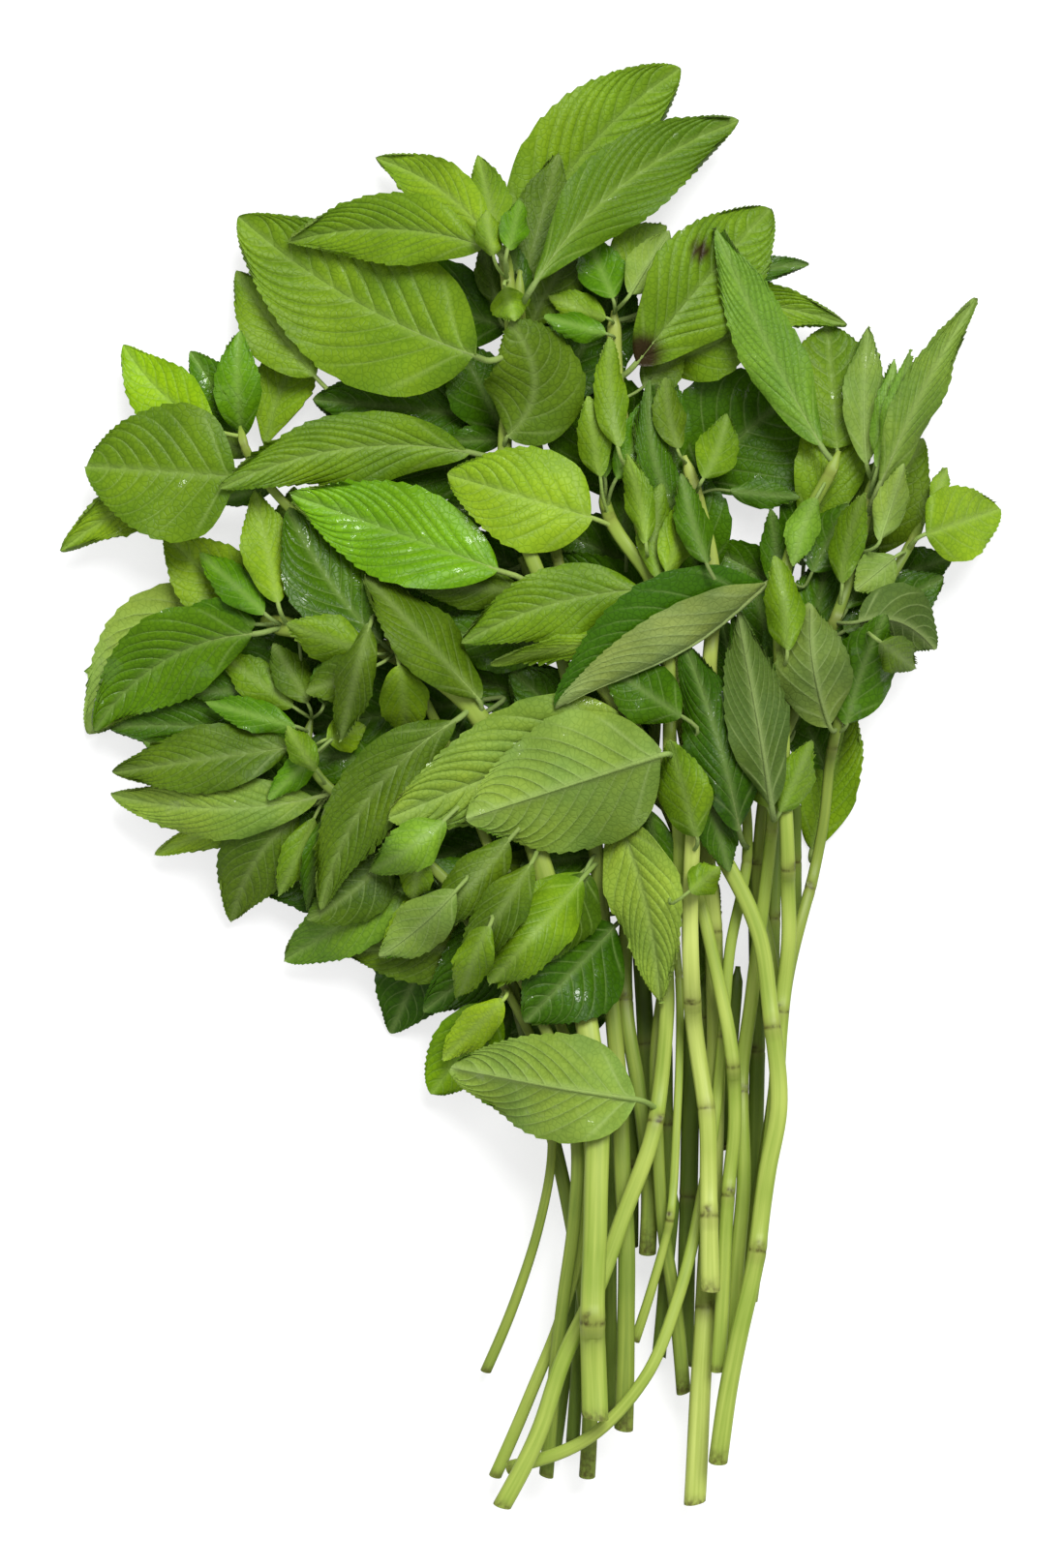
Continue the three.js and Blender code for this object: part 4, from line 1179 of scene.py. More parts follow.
@dataclass
class Leaf:
    """One leaf: a quilted, toothed blade, with its midrib and a stalk that reaches its stem.

    Attributes:
        name: The piece's name.
        net: Points of its middle surface, shaped like the nets that read_leaf returns.
        slot: The record's material slot; the underside's says that it lies with that side up.
        look: Its finish, its tone, its fold and its spots.
        stem: The stem that it grows on.
        index: Its place in the order of laying, which varies it.
        veins: Its side veins and teeth.
        thickness: Of the blade.
        tooth_depth: Of the margin's teeth in a broad leaf.
        vein_groove: Depth of the side veins.
        vein_end: Where the side veins start to fade, from 0 at the midrib to 1 at the margin.
        midrib_groove: Depth of the midrib.
        midrib_width: Half the width of its groove.
        quilting: Height of the bulges between the veins.
        wave: Height of the margin's waves.
        slow_wave: Height of the whole half's waves.
        wave_counts: How many of each of them there are along the blade.
        wave_shifts: Share of a wave by which each is further on in the next leaf.
        steepest: How much a blade can rise for each millimetre away from its midrib.
        round_edge: The power that rounds the ends of the outline.
        usual_length: Length of a leaf whose waves and stalk have the usual size.
        broad: Half the width from which on the grooves and bulges have their usual depth.
        narrow: Half the width below which fewer columns are enough.
        least_half: Half the width of the blade's blunt ends.
        tone_spread: How much lighter or darker one leaf is than the next.
        rib_sides: Corners round the midrib.
        rib_foot: Radius of the stalk.
        rib_tip: Radius of the midrib near the tip.
        stalk_rings: Rings from the stem to the foot of the blade.
        longest_stalk: A leaf whose own stem is further away than this ends in a torn stalk.
        near_foot: A stalk's foot closer to the stem than this is passed by.
        fold_radius: How sharp the fold of a folded leaf is.
        fold_gap: Distance between its two layers.
        fold_foot: Lower makes its blade rounder near its foot.
        fold_relief: Depth of its grooves, over the usual.
        spine: Points of the midrib, worked out from the net, as is all that follows.
        length: Of the blade.
        halves: Half the blade's width at each point of the midrib.
        scale: Size of its waves and its stalk, over the usual.
        relief: Depth of its grooves and bulges, over the usual.
        slopes: The straight and curved part of each half's slope, left and right.
    """

    name: str
    net: np.ndarray
    slot: Slot
    look: LeafLook
    stem: Stem
    index: int
    veins: Venation = Venation()
    thickness: float = 0.34
    tooth_depth: float = 0.62
    vein_groove: float = 0.11
    vein_end: float = 0.75
    midrib_groove: float = 0.28
    midrib_width: float = 0.75
    quilting: float = 0.3
    wave: float = 0.8
    slow_wave: float = 0.45
    wave_counts: tuple[float, float] = (2.3, 1.2)
    wave_shifts: tuple[float, float] = (0.37, 0.61)
    steepest: float = 1.3
    round_edge: float = 1.55
    usual_length: float = 50
    broad: float = 11
    narrow: float = 5
    least_half: float = 0.15
    tone_spread: float = 0.1
    rib_sides: int = 8
    rib_foot: float = 0.64
    rib_tip: float = 0.16
    stalk_rings: int = 7
    longest_stalk: float = 14.0
    near_foot: float = 3.5
    fold_radius: float = 0.8
    fold_gap: float = 1.3
    fold_foot: float = 0.5
    fold_relief: float = 0.45
    spine: np.ndarray = field(init=False)
    length: float = field(init=False)
    halves: np.ndarray = field(init=False)
    scale: float = field(init=False)
    relief: float = field(init=False)
    slopes: list[tuple[np.ndarray, np.ndarray]] = field(init=False)

    def __post_init__(self) -> None:
        """Works out what every step needs: the blade's length, width and side slopes."""
        blade = self.net[1:]
        self.spine = blade[:, MIDDLE]
        self.length = float(chord_marks(self.spine)[-1])
        self.halves = np.linalg.norm((blade[:, -1] - self.spine)[:, :2], axis=1)
        self.scale = float(np.clip(self.length / self.usual_length, 0.3, 1.1))
        self.relief = self.scale * float(np.clip(self.halves.max() / self.broad, 0.45, 1))
        if self.look.folded:
            self.fold_over(blade)
            return
        self.slopes = [self.slopes_between(blade[:, MIDDLE - 1], blade[:, 0]),
                       self.slopes_between(blade[:, MIDDLE + 1], blade[:, -1])]
        for slope in (*self.slopes[0], *self.slopes[1]):
            slope[0, 2], slope[-1, 2] = slope[1, 2], slope[-2, 2]
            slope[:, 2] = np.clip(slope[:, 2], -self.steepest, self.steepest)

    @property
    def facing(self) -> int:
        """1 if the leaf lies with its upper side up, and -1 if it lies with its lower side up."""
        return -1 if self.slot is Slot.UNDERSIDE else 1

    def slopes_between(self, mid: np.ndarray, rim: np.ndarray) -> tuple[np.ndarray, np.ndarray]:
        """Works out how one half of the blade slopes away from the midrib.

        Args:
            mid: Points halfway from the midrib to the margin.
            rim: Points of the margin.

        Returns:
            The straight and the curved part of the slope at each point of the midrib.
        """
        mid, rim = mid - self.spine, rim - self.spine
        halves = self.halves[:, None]
        return (4 * mid - rim) / halves, (2 * rim - 4 * mid) / halves

    def fold_over(self, blade: np.ndarray) -> None:
        """Moves the midrib to the left margin and lays the left half over the right one.

        Args:
            blade: The net without the stalk's foot.
        """
        self.spine = blade[:, 0].copy()
        share = self.halves / self.halves.max()
        near_foot = np.arange(len(share)) < len(share) / 2
        self.halves = 2 * self.halves.max() * share ** np.where(near_foot, self.fold_foot, 1)
        straight, curved = self.slopes_between(blade[:, MIDDLE], blade[:, -1])
        covered = self.look.folded
        self.slopes = [(covered * straight, covered**2 * curved), (straight, curved)]
        self.relief *= self.fold_relief

    def outline(self, along: np.ndarray) -> np.ndarray:
        """Finds half the blade's width.

        Args:
            along: Places along the blade, from 0 to 1.

        Returns:
            Half the width at each of them.
        """
        share = (self.halves / self.halves.max()) ** self.round_edge
        share[0] = share[-1] = 0
        last = len(share) - 1
        smooth = smooth_curve(share, np.arange(last + 1), along.ravel() * last).reshape(along.shape)
        half = self.halves.max() * np.maximum(smooth, 0) ** (1 / self.round_edge)
        return np.maximum(half, self.least_half)

    def surface(self, along: np.ndarray, across: np.ndarray, half: np.ndarray) -> np.ndarray:
        """Finds points of the smooth middle surface.

        Args:
            along: Places along the blade, from 0 to 1.
            across: Places across it, from -1 at the left margin to 1 at the right one.
            half: Half the blade's width there.

        Returns:
            The points, shaped as along is, with x, y and z last.
        """
        marks = np.arange(len(self.spine))
        at = along.ravel() * marks[-1]
        right = (across.ravel() > 0)[:, None]
        straight, curved = (
            np.where(right, smooth_curve(on_right, marks, at), smooth_curve(on_left, marks, at))
            for on_left, on_right in zip(*self.slopes)
        )
        reach = np.abs(across.ravel())[:, None]
        out = reach * (straight + curved * reach) * half.ravel()[:, None]
        if self.look.folded:
            parted = 1 - np.exp(-reach * half.ravel()[:, None] / self.fold_radius)
            out[:, 2:] += np.where(right, 0, self.fold_gap * parted)
        return (smooth_curve(self.spine, marks, at) + out).reshape(*along.shape, 3)

    def columns(self) -> np.ndarray:
        """Places the grid's columns, closest together at the midrib and the margins.

        Returns:
            Places across the blade, from -1 to 1.
        """
        half = (0, 0.045, 0.12, 0.23, 0.36, 0.5, 0.64, 0.77, 0.89, 1)
        if self.halves.max() < self.narrow:
            half = (0, 0.1, 0.3, 0.55, 0.8, 1)
        return np.array([*(-x for x in half[:0:-1]), *half])

    def build(self) -> bpy.types.Object:
        """Makes the leaf.

        Returns:
            The new piece.
        """
        rows = self.veins.rows(self.length)
        across = self.columns()
        middle, normals, marks = self.blade(rows, across)
        rib, radii = self.rib_line(middle[:, len(across) // 2], normals[:, len(across) // 2])
        bm = bmesh.new()
        add_slab(bm, len(across), len(rows.along))
        blade_count = len(bm.verts)
        add_cylinder(bm, self.rib_sides, len(rib))
        mesh, local = write_mesh(bm, self.name)
        blade, tube = local[:blade_count], local[blade_count:]
        row = nearest_index((blade[:, 1] + 1) / 2, len(rows.along))
        column = nearest_index((blade[:, 0] + 1) / 2, len(across))
        side = np.where(blade[:, 2] > 0.5, 1, -1)
        thick = side * self.thickness / 2
        placed = middle[row, column] + normals[row, column] * thick[:, None]
        tube = bend(tube, rib, radii[nearest_index(tube[:, 2], len(rib))])
        bare = np.zeros(len(tube))
        tone = self.look.tone + self.tone_spread * math.sin(3.1 * self.index)
        attributes = {
            "vein": np.concatenate([marks["vein"][row, column], bare + 0.9]),
            # The crests also colour the leaf: painted highlight on them and painted shade in the
            # grooves.
            "crest": np.concatenate([marks["crest"][row, column], bare]),
            "upper": np.concatenate([(side * self.facing > 0).astype(float), bare]),
            "tone": np.full(len(local), tone),
            "blight": np.concatenate([marks["blight"][row, column], bare]),
        }
        finish = (self.look.kind or USUAL[self.slot]).value
        return finish_piece(mesh, np.concatenate([placed, tube]), attributes, finish)

    def blade(self, rows: Rows, across: np.ndarray) -> tuple[np.ndarray, np.ndarray, dict]:
        """Shapes the blade's middle surface.

        Args:
            rows: The rows of its grid.
            across: The places of its columns.

        Returns:
            The grid's points, its normals, and its marks by name.
        """
        v = np.tile(across, (len(rows.along), 1))
        far = np.abs(v)
        along = self.veins.sweep_up(rows.along[:, None], far)
        half = self.outline(along)
        # The teeth fade out towards the foot, the tip and the midrib, and are finer in a small leaf.
        toothed = ease(along, 0.08, 0.3) * (1 - ease(along, 0.94, 1)) * ease(far, 0.8, 1)
        deep = self.tooth_depth * min(1, 0.4 + self.halves.max() / 20)
        reach = v * (1 + deep * toothed * (rows.tooth[:, None] - 0.4) / np.maximum(half, 1.5))
        middle = self.surface(along, reach, half)
        normals = unit(np.cross(np.gradient(middle, axis=1), np.gradient(middle, axis=0)))
        vein = rows.vein[:, None] * (1 - ease(far, self.vein_end, 1))
        midrib = hump(v * half, self.midrib_width)
        crest = rows.swell[:, None] * np.sin(math.pi * far**0.6) ** 0.6
        relief = self.quilting * crest - self.vein_groove * vein - self.midrib_groove * midrib
        raised = self.facing * self.relief * relief
        if not self.look.folded:
            raised = raised + self.scale * self.waves(along, v)
        middle = middle + normals * raised[..., None]
        middle[..., 2] = np.maximum(middle[..., 2], self.thickness / 2)
        spots = np.zeros(half.shape)
        for x, y, radius in self.look.blight:
            away = np.hypot(middle[..., 0] - x, middle[..., 1] - y)
            spots = np.maximum(spots, 1 - ease(away, 0.55 * radius, 1.25 * radius))
        shown = np.maximum(vein * (1 - 0.3 * far), midrib)
        return middle, normals, {"vein": shown, "crest": crest, "blight": spots}

    def waves(self, along: np.ndarray, v: np.ndarray) -> np.ndarray:
        """Works out how a leaf waves: quickly at its margin, slowly as a whole.

        Args:
            along: Places along the blade, from 0 to 1.
            v: Places across it, from -1 to 1.

        Returns:
            How far each is raised.
        """
        far = np.abs(v)
        quick, slow = (
            np.sin(2 * math.pi * (count * along + shift * self.index))
            for count, shift in zip(self.wave_counts, self.wave_shifts)
        )
        return self.wave * far**3 * quick * np.sign(v) + self.slow_wave * far**2 * slow

    def rib_line(self, spine: np.ndarray, normals: np.ndarray) -> tuple[np.ndarray, np.ndarray]:
        """Runs the stalk and midrib from the stem to near the tip.

        Args:
            spine: The blade's points over the midrib.
            normals: Its normals there.

        Returns:
            The points of the line, and the radius at each.
        """
        count = len(spine)
        kept = np.arange(1, count - 2, 2)
        thickest = self.rib_foot * math.sqrt(self.scale)
        radius = self.rib_tip + (thickest - self.rib_tip) * (1 - kept / count) ** 1.6
        sunk = -self.facing * (self.thickness / 2 + 0.1 * radius)
        line = spine[kept] + normals[kept] * sunk[:, None]
        foot = self.net[0, MIDDLE]
        anchor = self.stem.nearest(foot)
        gap = anchor - foot
        stalk = [anchor, foot]
        if np.linalg.norm(gap) > self.longest_stalk:
            stalk = [foot]
        elif np.linalg.norm(gap[:2]) < self.near_foot:
            stalk = [anchor]
        knots = np.concatenate([np.array(stalk), line])
        thick = np.concatenate([np.full(len(stalk), thickest), radius])
        marks = chord_marks(knots)
        on_stalk = np.linspace(0, marks[len(stalk)], self.stalk_rings + 1)[:-1]
        at = np.concatenate([on_stalk, marks[len(stalk):]])
        return smooth_curve(knots, marks, at), np.interp(at, marks, thick)


# ---- The small and deep leaves, which have no solid of their own


def midrib_line(foot: np.ndarray, tip: np.ndarray, bow: float) -> tuple[np.ndarray, ...]:
    """Lays out the rows of a small piece along its middle.

    Args:
        foot: Where it starts, in plan.
        tip: Where it ends, in plan.
        bow: How far its middle lies to the left of a straight line.

    Returns:
        The rows' shares of the length, their places and their headings.
    """
    length = float(np.linalg.norm(tip - foot))
    left = np.array([foot[1] - tip[1], tip[0] - foot[0]]) / length
    bent = (foot + tip) / 2 + left * 2 * bow
    t = np.concatenate([[0], np.linspace(STALK_LENGTH / length, 1, SOLID_ROWS - 1)])[:, None]
    centre = (1 - t) ** 2 * foot + 2 * t * (1 - t) * bent + t * t * tip
    return t, centre, unit((1 - t) * (bent - foot) + t * (tip - bent))


@dataclass(frozen=True)
class SmallLeaf:
    """A leaf too small, or too deep in the pile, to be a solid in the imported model.

    Attributes:
        sprig: Letter of the sprig that it grows on.
        slot: The record's material slot.
        foot: Where its stalk starts, in plan.
        tip: Where its blade ends, in plan.
        width: Of the blade.
        bow: How far the middle of the midrib lies to the left of a straight line.
        raised: Height of the stalk's foot over the rest.
        blunt: How blunt the blade's ends are; lower is blunter.
        fold: Degrees that each half rises from the midrib, where it isn't the usual.
        rise: Height of the tip over the foot, where it isn't the usual.
        tone: How much lighter it is than its kind.
    """

    sprig: str
    slot: Slot
    foot: tuple[float, float]
    tip: tuple[float, float]
    width: float
    bow: float = 0
    raised: float = 0
    blunt: float = 0.92
    fold: float | None = None
    rise: float | None = None
    tone: float = 0

    def net(self, index: int, origin: np.ndarray) -> np.ndarray:
        """Works out the leaf's net before it is laid down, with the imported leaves' own rules.

        Args:
            index: Its place in the order of laying, which varies it.
            origin: How far the bunch was moved to centre it.

        Returns:
            Its lower surface, shaped like the nets that read_leaf returns.
        """
        sway = math.sin(2.4 * index)  # no two neighbours in the pile are alike
        fold = math.radians(FOLD + FOLD_SWAY * sway if self.fold is None else self.fold)
        rise = RISE + RISE_SWAY * math.cos(1.7 * index) if self.rise is None else self.rise
        foot, tip = np.array(self.foot) + origin, np.array(self.tip) + origin
        t, centre, heading = midrib_line(foot, tip, self.bow)
        b = np.maximum(0, (t - t[1]) / (1 - t[1]))
        bulge = np.maximum(0, np.sin(math.pi * b**WIDEST_EARLY)) ** self.blunt
        narrowest = (STALK_WIDTH + (TIP_WIDTH - STALK_WIDTH) * b) / 2
        half = np.maximum(narrowest, self.width / 2 * bulge)
        arch = (ARCH + ARCH_SWAY * sway) * np.sin(math.pi * t)
        arch = arch + rise * t * t + self.raised * (1 - t) ** 2
        across = np.linspace(-1, 1, SOLID_COLUMNS)[None, :]
        x = centre[:, :1] + heading[:, 1:] * half * across
        y = centre[:, 1:] - heading[:, :1] * half * across
        z = arch + math.tan(fold) * half * np.abs(across) + LEAN * sway * half * across * t
        return np.stack([x, y, z], axis=2)


@dataclass(frozen=True)
class SideStem:
    """A bare side stem that lies among the others.

    Attributes:
        sprig: Letter of the sprig that it grows on.
        foot: Its cut end, in plan.
        tip: Its other end, in plan.
        thickness: Of the stem.
        bow: How far its middle lies to the left of a straight line.
        node: Thickness of its one node, over the stem's.
    """

    sprig: str
    foot: tuple[float, float]
    tip: tuple[float, float]
    thickness: float
    bow: float = 0
    node: float = 1.25

    def net(self, origin: np.ndarray) -> np.ndarray:
        """Works out the side stem's lower surface before it is laid down.

        Args:
            origin: How far the bunch was moved to centre it.

        Returns:
            The surface, shaped like the nets that read_leaf returns.
        """
        foot, tip = np.array(self.foot) + origin, np.array(self.tip) + origin
        centre, heading = midrib_line(foot, tip, self.bow)[1:]
        across = np.linspace(-1, 1, SOLID_COLUMNS)[None, :] * self.thickness / 2
        x = centre[:, :1] + heading[:, 1:] * across
        y = centre[:, 1:] - heading[:, :1] * across
        return np.stack([x, y, np.zeros(x.shape)], axis=2)

    def rings(self, placed: np.ndarray) -> np.ndarray:
        """Turns the net in its place into the rings of a stem with one node.

        Args:
            placed: The net.

        Returns:
            Rings like those that read_stem returns.
        """
        centres = placed[:, MIDDLE]
        radii = np.full((len(centres), 1), self.thickness / 2)
        radii[len(centres) // 2] *= self.node
        return np.concatenate([centres, radii], axis=1)


# What is laid straight on top of each solid, in the order of laying; on the bare table first.
TABLE = "table"
SMALL_PIECES: dict[str, tuple[SmallLeaf | SideStem, ...]] = {
    TABLE: (
        SideStem("o", (26, -80), (22.5, -24), 3.8),
        SideStem("m", (21.3, -96), (21.5, -62), 3),
        SideStem("s", (32.3, -121), (34.2, -44), 4),
        SideStem("g", (46.5, -92), (46.5, -12), 3.4, bow=-1),
        SideStem("m", (17, -131), (16.8, -58), 2.8),
        SideStem("j", (5, -140), (11, -96), 3.2),
        SideStem("p", (29, -90), (28.5, -50), 2.6),
        SideStem("b", (37, -66), (35, -30), 2.4),
    ),
    "sprig_b_leaf_1": (
        # These leaves fill the deep gaps of the pile; most take the dark slot, whose colour is
        # partly painted shade.
        SmallLeaf("d", Slot.DARK, (-6, 62), (-41, 74), 18),
        SmallLeaf("d", Slot.DARK, (-5, 76), (-45, 80), 20),
        SmallLeaf("d", Slot.DARK, (-4, 70), (-15, 92), 15),
        SmallLeaf("j", Slot.DARK, (-38, 20), (-68, 12), 17),
        SmallLeaf("i", Slot.DARK, (-36, 27), (-64, 24), 15),
        SmallLeaf("j", Slot.DARK, (-50, 10), (-88, 12), 12, bow=-1),
        SmallLeaf("a", Slot.DARK, (20, 10), (-15, 24), 16),
        SmallLeaf("m", Slot.DARK, (8, 38), (-14, 52), 14),
        SmallLeaf("c", Slot.DARK, (26, 44), (3, 54), 14),
        SmallLeaf("l", Slot.DARK, (6, -6), (-26, -18), 17),
        SmallLeaf("m", Slot.OLIVE, (10, -12), (-14, -30), 14),
        SmallLeaf("l", Slot.DARK, (3, -36), (-9, -57), 11),
        SmallLeaf("g", Slot.OLIVE, (66, 44), (82, 72), 17),
        SmallLeaf("f", Slot.DARK, (57, 42), (58, 66), 12),
        SmallLeaf("f", Slot.DARK, (55, 40), (36, 50), 10),
        SmallLeaf("f", Slot.DARK, (53, 16), (46, 44), 13),
        SmallLeaf("h", Slot.DARK, (63, 0), (56, 17), 11),
        SmallLeaf("h", Slot.DARK, (72, 42), (88, 47), 9),
        SmallLeaf("m", Slot.DARK, (-3, 44), (-50, 39), 24),
        SmallLeaf("i", Slot.DARK, (-6, 18), (-46, 12), 26),
        SmallLeaf("j", Slot.DARK, (-30, -6), (-80, 9), 21),
        SmallLeaf("j", Slot.DARK, (-20, -14), (-56, -22), 20),
        SmallLeaf("l", Slot.OLIVE, (-4, -33), (-38, -35), 15),
        SmallLeaf("m", Slot.DARK, (12, -20), (-22, -47), 20),
        SmallLeaf("c", Slot.DARK, (23, 56), (8, 90), 24),
        SmallLeaf("e", Slot.DARK, (3, 76), (21, 109), 20),
        SmallLeaf("b", Slot.DARK, (37, 38), (29, 70), 18),
        SmallLeaf("q", Slot.DARK, (49, -4), (40, 34), 20),
        SmallLeaf("f", Slot.DARK, (54, 8), (62, 48), 20),
        SmallLeaf("g", Slot.DARK, (62, 30), (86, 43), 15),
        SmallLeaf("f", Slot.MATURE, (57, 48), (69, 88), 15),
        SmallLeaf("a", Slot.DARK, (29, -6), (-4, 24), 26),
        SmallLeaf("a", Slot.DARK, (29, 24), (2, 48), 22),
        SmallLeaf("e", Slot.DARK, (-1, 94), (-36, 104), 20),
        SmallLeaf("k", Slot.MATURE, (-42, 82), (-61, 107), 14, bow=1),
        SmallLeaf("k", Slot.BRIGHT, (-60, 69), (-70.5, 90), 11, bow=-1),
        SmallLeaf("k", Slot.BRIGHT, (-59, 69), (-60, 94), 10, bow=1),
        SmallLeaf("c", Slot.OLIVE, (-1, 92), (9, 113), 13),
        SmallLeaf("i", Slot.LIGHT, (-52, 35), (-76, 52.5), 16, bow=2, raised=3),
        SmallLeaf("i", Slot.LIGHT, (-50, 38), (-49, 62), 11, raised=3),
        SmallLeaf("j", Slot.LIGHT, (-44, -4), (-78, -14.5), 8, bow=-1, raised=5),
        SmallLeaf("j", Slot.OLIVE, (-45, -4), (-62, -28.5), 16, bow=-3, raised=5),
        SmallLeaf("j", Slot.MATURE, (-43, -4), (-52, -23), 7, raised=5),
    ),
    "sprig_j_leaf_1": (
        SmallLeaf("j", Slot.DARK, (-42, -4), (-46, -26), 6, raised=6),
        SmallLeaf("l", Slot.BLUISH, (-22, -19), (-51, -36.5), 14, raised=6, blunt=0.7),
    ),
    "sprig_l_leaf_1": (
        SmallLeaf("l", Slot.LIGHT, (-14, -20), (-31, -36), 10, raised=6),
        SmallLeaf("b", Slot.OLIVE, (33, -46), (39.5, -21), 6, raised=5),
    ),
    "sprig_f_leaf_1": (
        SmallLeaf("c", Slot.MATURE, (20, 96), (66, 95.5), 11, bow=4),
        SmallLeaf("c", Slot.DARK, (20, 96), (58, 108), 9, bow=2.5),
        SmallLeaf("c", Slot.MATURE, (18, 101), (28.5, 116.5), 11, bow=2),
    ),
    "sprig_e_leaf_1": (
        SmallLeaf("e", Slot.OLIVE, (-2, 101), (6, 131), 12),
        SmallLeaf("f", Slot.DARK, (57, 41), (66, 58), 12),
        SmallLeaf("b", Slot.DARK, (38, 61), (56, 59.5), 6),
        SmallLeaf("c", Slot.DARK, (30, 60), (28, 87), 9),
        SmallLeaf("a", Slot.DARK, (8, 28), (-20, 32), 14),
        SmallLeaf("m", Slot.DARK, (20, 44), (20, 64), 9),
        SmallLeaf("c", Slot.OLIVE, (21, 80), (32, 90), 9),
        SmallLeaf("l", Slot.DARK, (-12, -8), (-33, -12), 9),
        SmallLeaf("j", Slot.DARK, (-28, 4), (-50, 7), 11),
        SmallLeaf("a", Slot.DARK, (20, -14), (-2, -17), 9),
        SmallLeaf("m", Slot.DARK, (-4, -18), (-27, -22), 10),
        SmallLeaf("l", Slot.DARK, (20, -47), (-4, -52), 10),
        SmallLeaf("i", Slot.DARK, (-50, 20), (-70, 19), 9),
        SmallLeaf("i", Slot.DARK, (-40, 35), (-62, 36), 10),
        SmallLeaf("f", Slot.DARK, (53, 36), (50, 57), 7),
        SmallLeaf("g", Slot.DARK, (64, 33), (72, 50), 8),
        SmallLeaf("e", Slot.OLIVE, (-6, 96), (-10, 112), 6),
        SmallLeaf("e", Slot.DARK, (-1, 96), (-4, 113), 6),
        SideStem("r", (9, -137), (12, -92), 3),
        SideStem("o", (27, -119), (30, -84), 3.2),
        SideStem("q", (40.5, -76), (43.5, -38), 2.8),
        SideStem("h", (50.5, -48), (51.5, -6), 2.8),
        SideStem("g", (55.7, -30), (55.5, -2), 2.4),
        SmallLeaf("k", Slot.DARK, (-50, 62), (-66, 59), 5),
        SmallLeaf("m", Slot.DARK, (-4, 56), (-18, 58), 9),
        SmallLeaf("d", Slot.DARK, (-2, 72), (-18, 71), 6),
        SmallLeaf("k", Slot.OLIVE, (-56, 66), (-64, 72), 5),
    ),
    "sprig_b_stem": (
        SmallLeaf("j", Slot.OLIVE, (-46, 8), (-86.5, 2.5), 14),
        SmallLeaf("j", Slot.MATURE, (-46, 14), (-64, 27), 9),
        SmallLeaf("j", Slot.OLIVE, (-44, 14), (-53, 29), 8),
        SmallLeaf("j", Slot.DARK, (-43, 13), (-40, 27), 8),
        SmallLeaf("j", Slot.BRIGHT, (-45, 11), (-67, 17), 7),
        SmallLeaf("j", Slot.LIGHT, (-45, 8), (-34, 12), 8),
        SmallLeaf("i", Slot.BRIGHT, (-53, 33), (-76, 33), 11),
        SmallLeaf("i", Slot.BRIGHT, (-52, 33), (-68.5, 48), 8),
    ),
    "sprig_i_leaf_4": (
        SmallLeaf("i", Slot.LIGHT, (-51, 34), (-57, 61), 11),
    ),
    "sprig_i_leaf_1": (
        SmallLeaf("i", Slot.MATURE, (-30, 26), (-50, 33), 10),
        SmallLeaf("i", Slot.OLIVE, (-29, 25), (-46, 19), 10),
        SmallLeaf("i", Slot.LIGHT, (-27, 28), (-25, 8), 10),
        SmallLeaf("k", Slot.OLIVE, (-32, 36), (-39, 9), 8),
    ),
    "sprig_i_leaf_5": (
        SmallLeaf("m", Slot.OLIVE, (2, 40), (-24, 41), 9),
    ),
    "sprig_m_leaf_2": (
        SmallLeaf("l", Slot.MATURE, (-22, -12), (-24, -24), 7, rise=1),
        SmallLeaf("m", Slot.MATURE, (14, -16), (-14, -38), 10),
    ),
    "sprig_l_leaf_3": (
        # Its tone of 0.8 is painted light, which lightens a leaf that lies in shade.
        SmallLeaf("l", Slot.LIGHT, (-3, -42), (-18, -57), 8, tone=0.8),
    ),
    "sprig_a_leaf_5": (
        SmallLeaf("a", Slot.DARK, (24, -2), (27.5, -22), 8),
        SmallLeaf("b", Slot.DARK, (35, 4), (41, -18), 9),
    ),
    "sprig_m_leaf_3": (
        SmallLeaf("m", Slot.LIGHT, (13, -17), (-8, -41), 13, blunt=0.65),
    ),
    "sprig_d_leaf_2": (
        SmallLeaf("d", Slot.LIGHT, (-6, 110), (-10.5, 131), 9),
        SmallLeaf("d", Slot.LIGHT, (-7, 110), (-32, 130.5), 12, bow=-3),
    ),
    "sprig_d_leaf_4": (
        SmallLeaf("d", Slot.LIGHT, (-7, 105), (-9, 118), 6, rise=3),
        SmallLeaf("d", Slot.BRIGHT, (-5, 106), (-2, 121), 6, rise=3),
        SmallLeaf("d", Slot.LIGHT, (-6, 105), (-3, 95), 8, rise=1),
        SmallLeaf("a", Slot.BRIGHT, (16, 60), (16, 83), 6, bow=1),
        SmallLeaf("a", Slot.BRIGHT, (16, 60), (26, 82), 8, bow=-1),
    ),
    "sprig_a_leaf_2": (
        SmallLeaf("a", Slot.LIGHT, (15, 60), (12, 80), 7),
        SmallLeaf("b", Slot.DARK, (38, 46), (25, 84), 8, bow=5),
        SmallLeaf("a", Slot.MATURE, (27, 39), (27, 62), 8, bow=1),
        SmallLeaf("a", Slot.LIGHT, (27, 40), (34, 61), 8),
        SmallLeaf("c", Slot.LIGHT, (19, 95), (4, 101), 7, rise=1),
        SmallLeaf("c", Slot.BRIGHT, (19, 92), (3, 96), 6, rise=1),
        SmallLeaf("c", Slot.BRIGHT, (18.5, 97), (12, 114), 10),
        SmallLeaf("c", Slot.UNDERSIDE, (19, 98), (29, 115), 9),
    ),
    "sprig_f_leaf_2": (
        SmallLeaf("g", Slot.UNDERSIDE, (70, 63), (70.5, 95), 9, bow=1, fold=40),
        SmallLeaf("g", Slot.BLUISH, (71, 63), (75.5, 88), 5),
        SmallLeaf("g", Slot.BLUISH, (71, 62), (79, 90), 5),
    ),
    "sprig_g_leaf_1": (
        SmallLeaf("h", Slot.UNDERSIDE, (78, 49), (67, 40), 9),
        SmallLeaf("h", Slot.LIGHT, (82, 55), (87, 66), 4, rise=1),
    ),
    "sprig_g_leaf_2": (
        SmallLeaf("h", Slot.DARK, (65, 9), (73, 35), 14, bow=1),
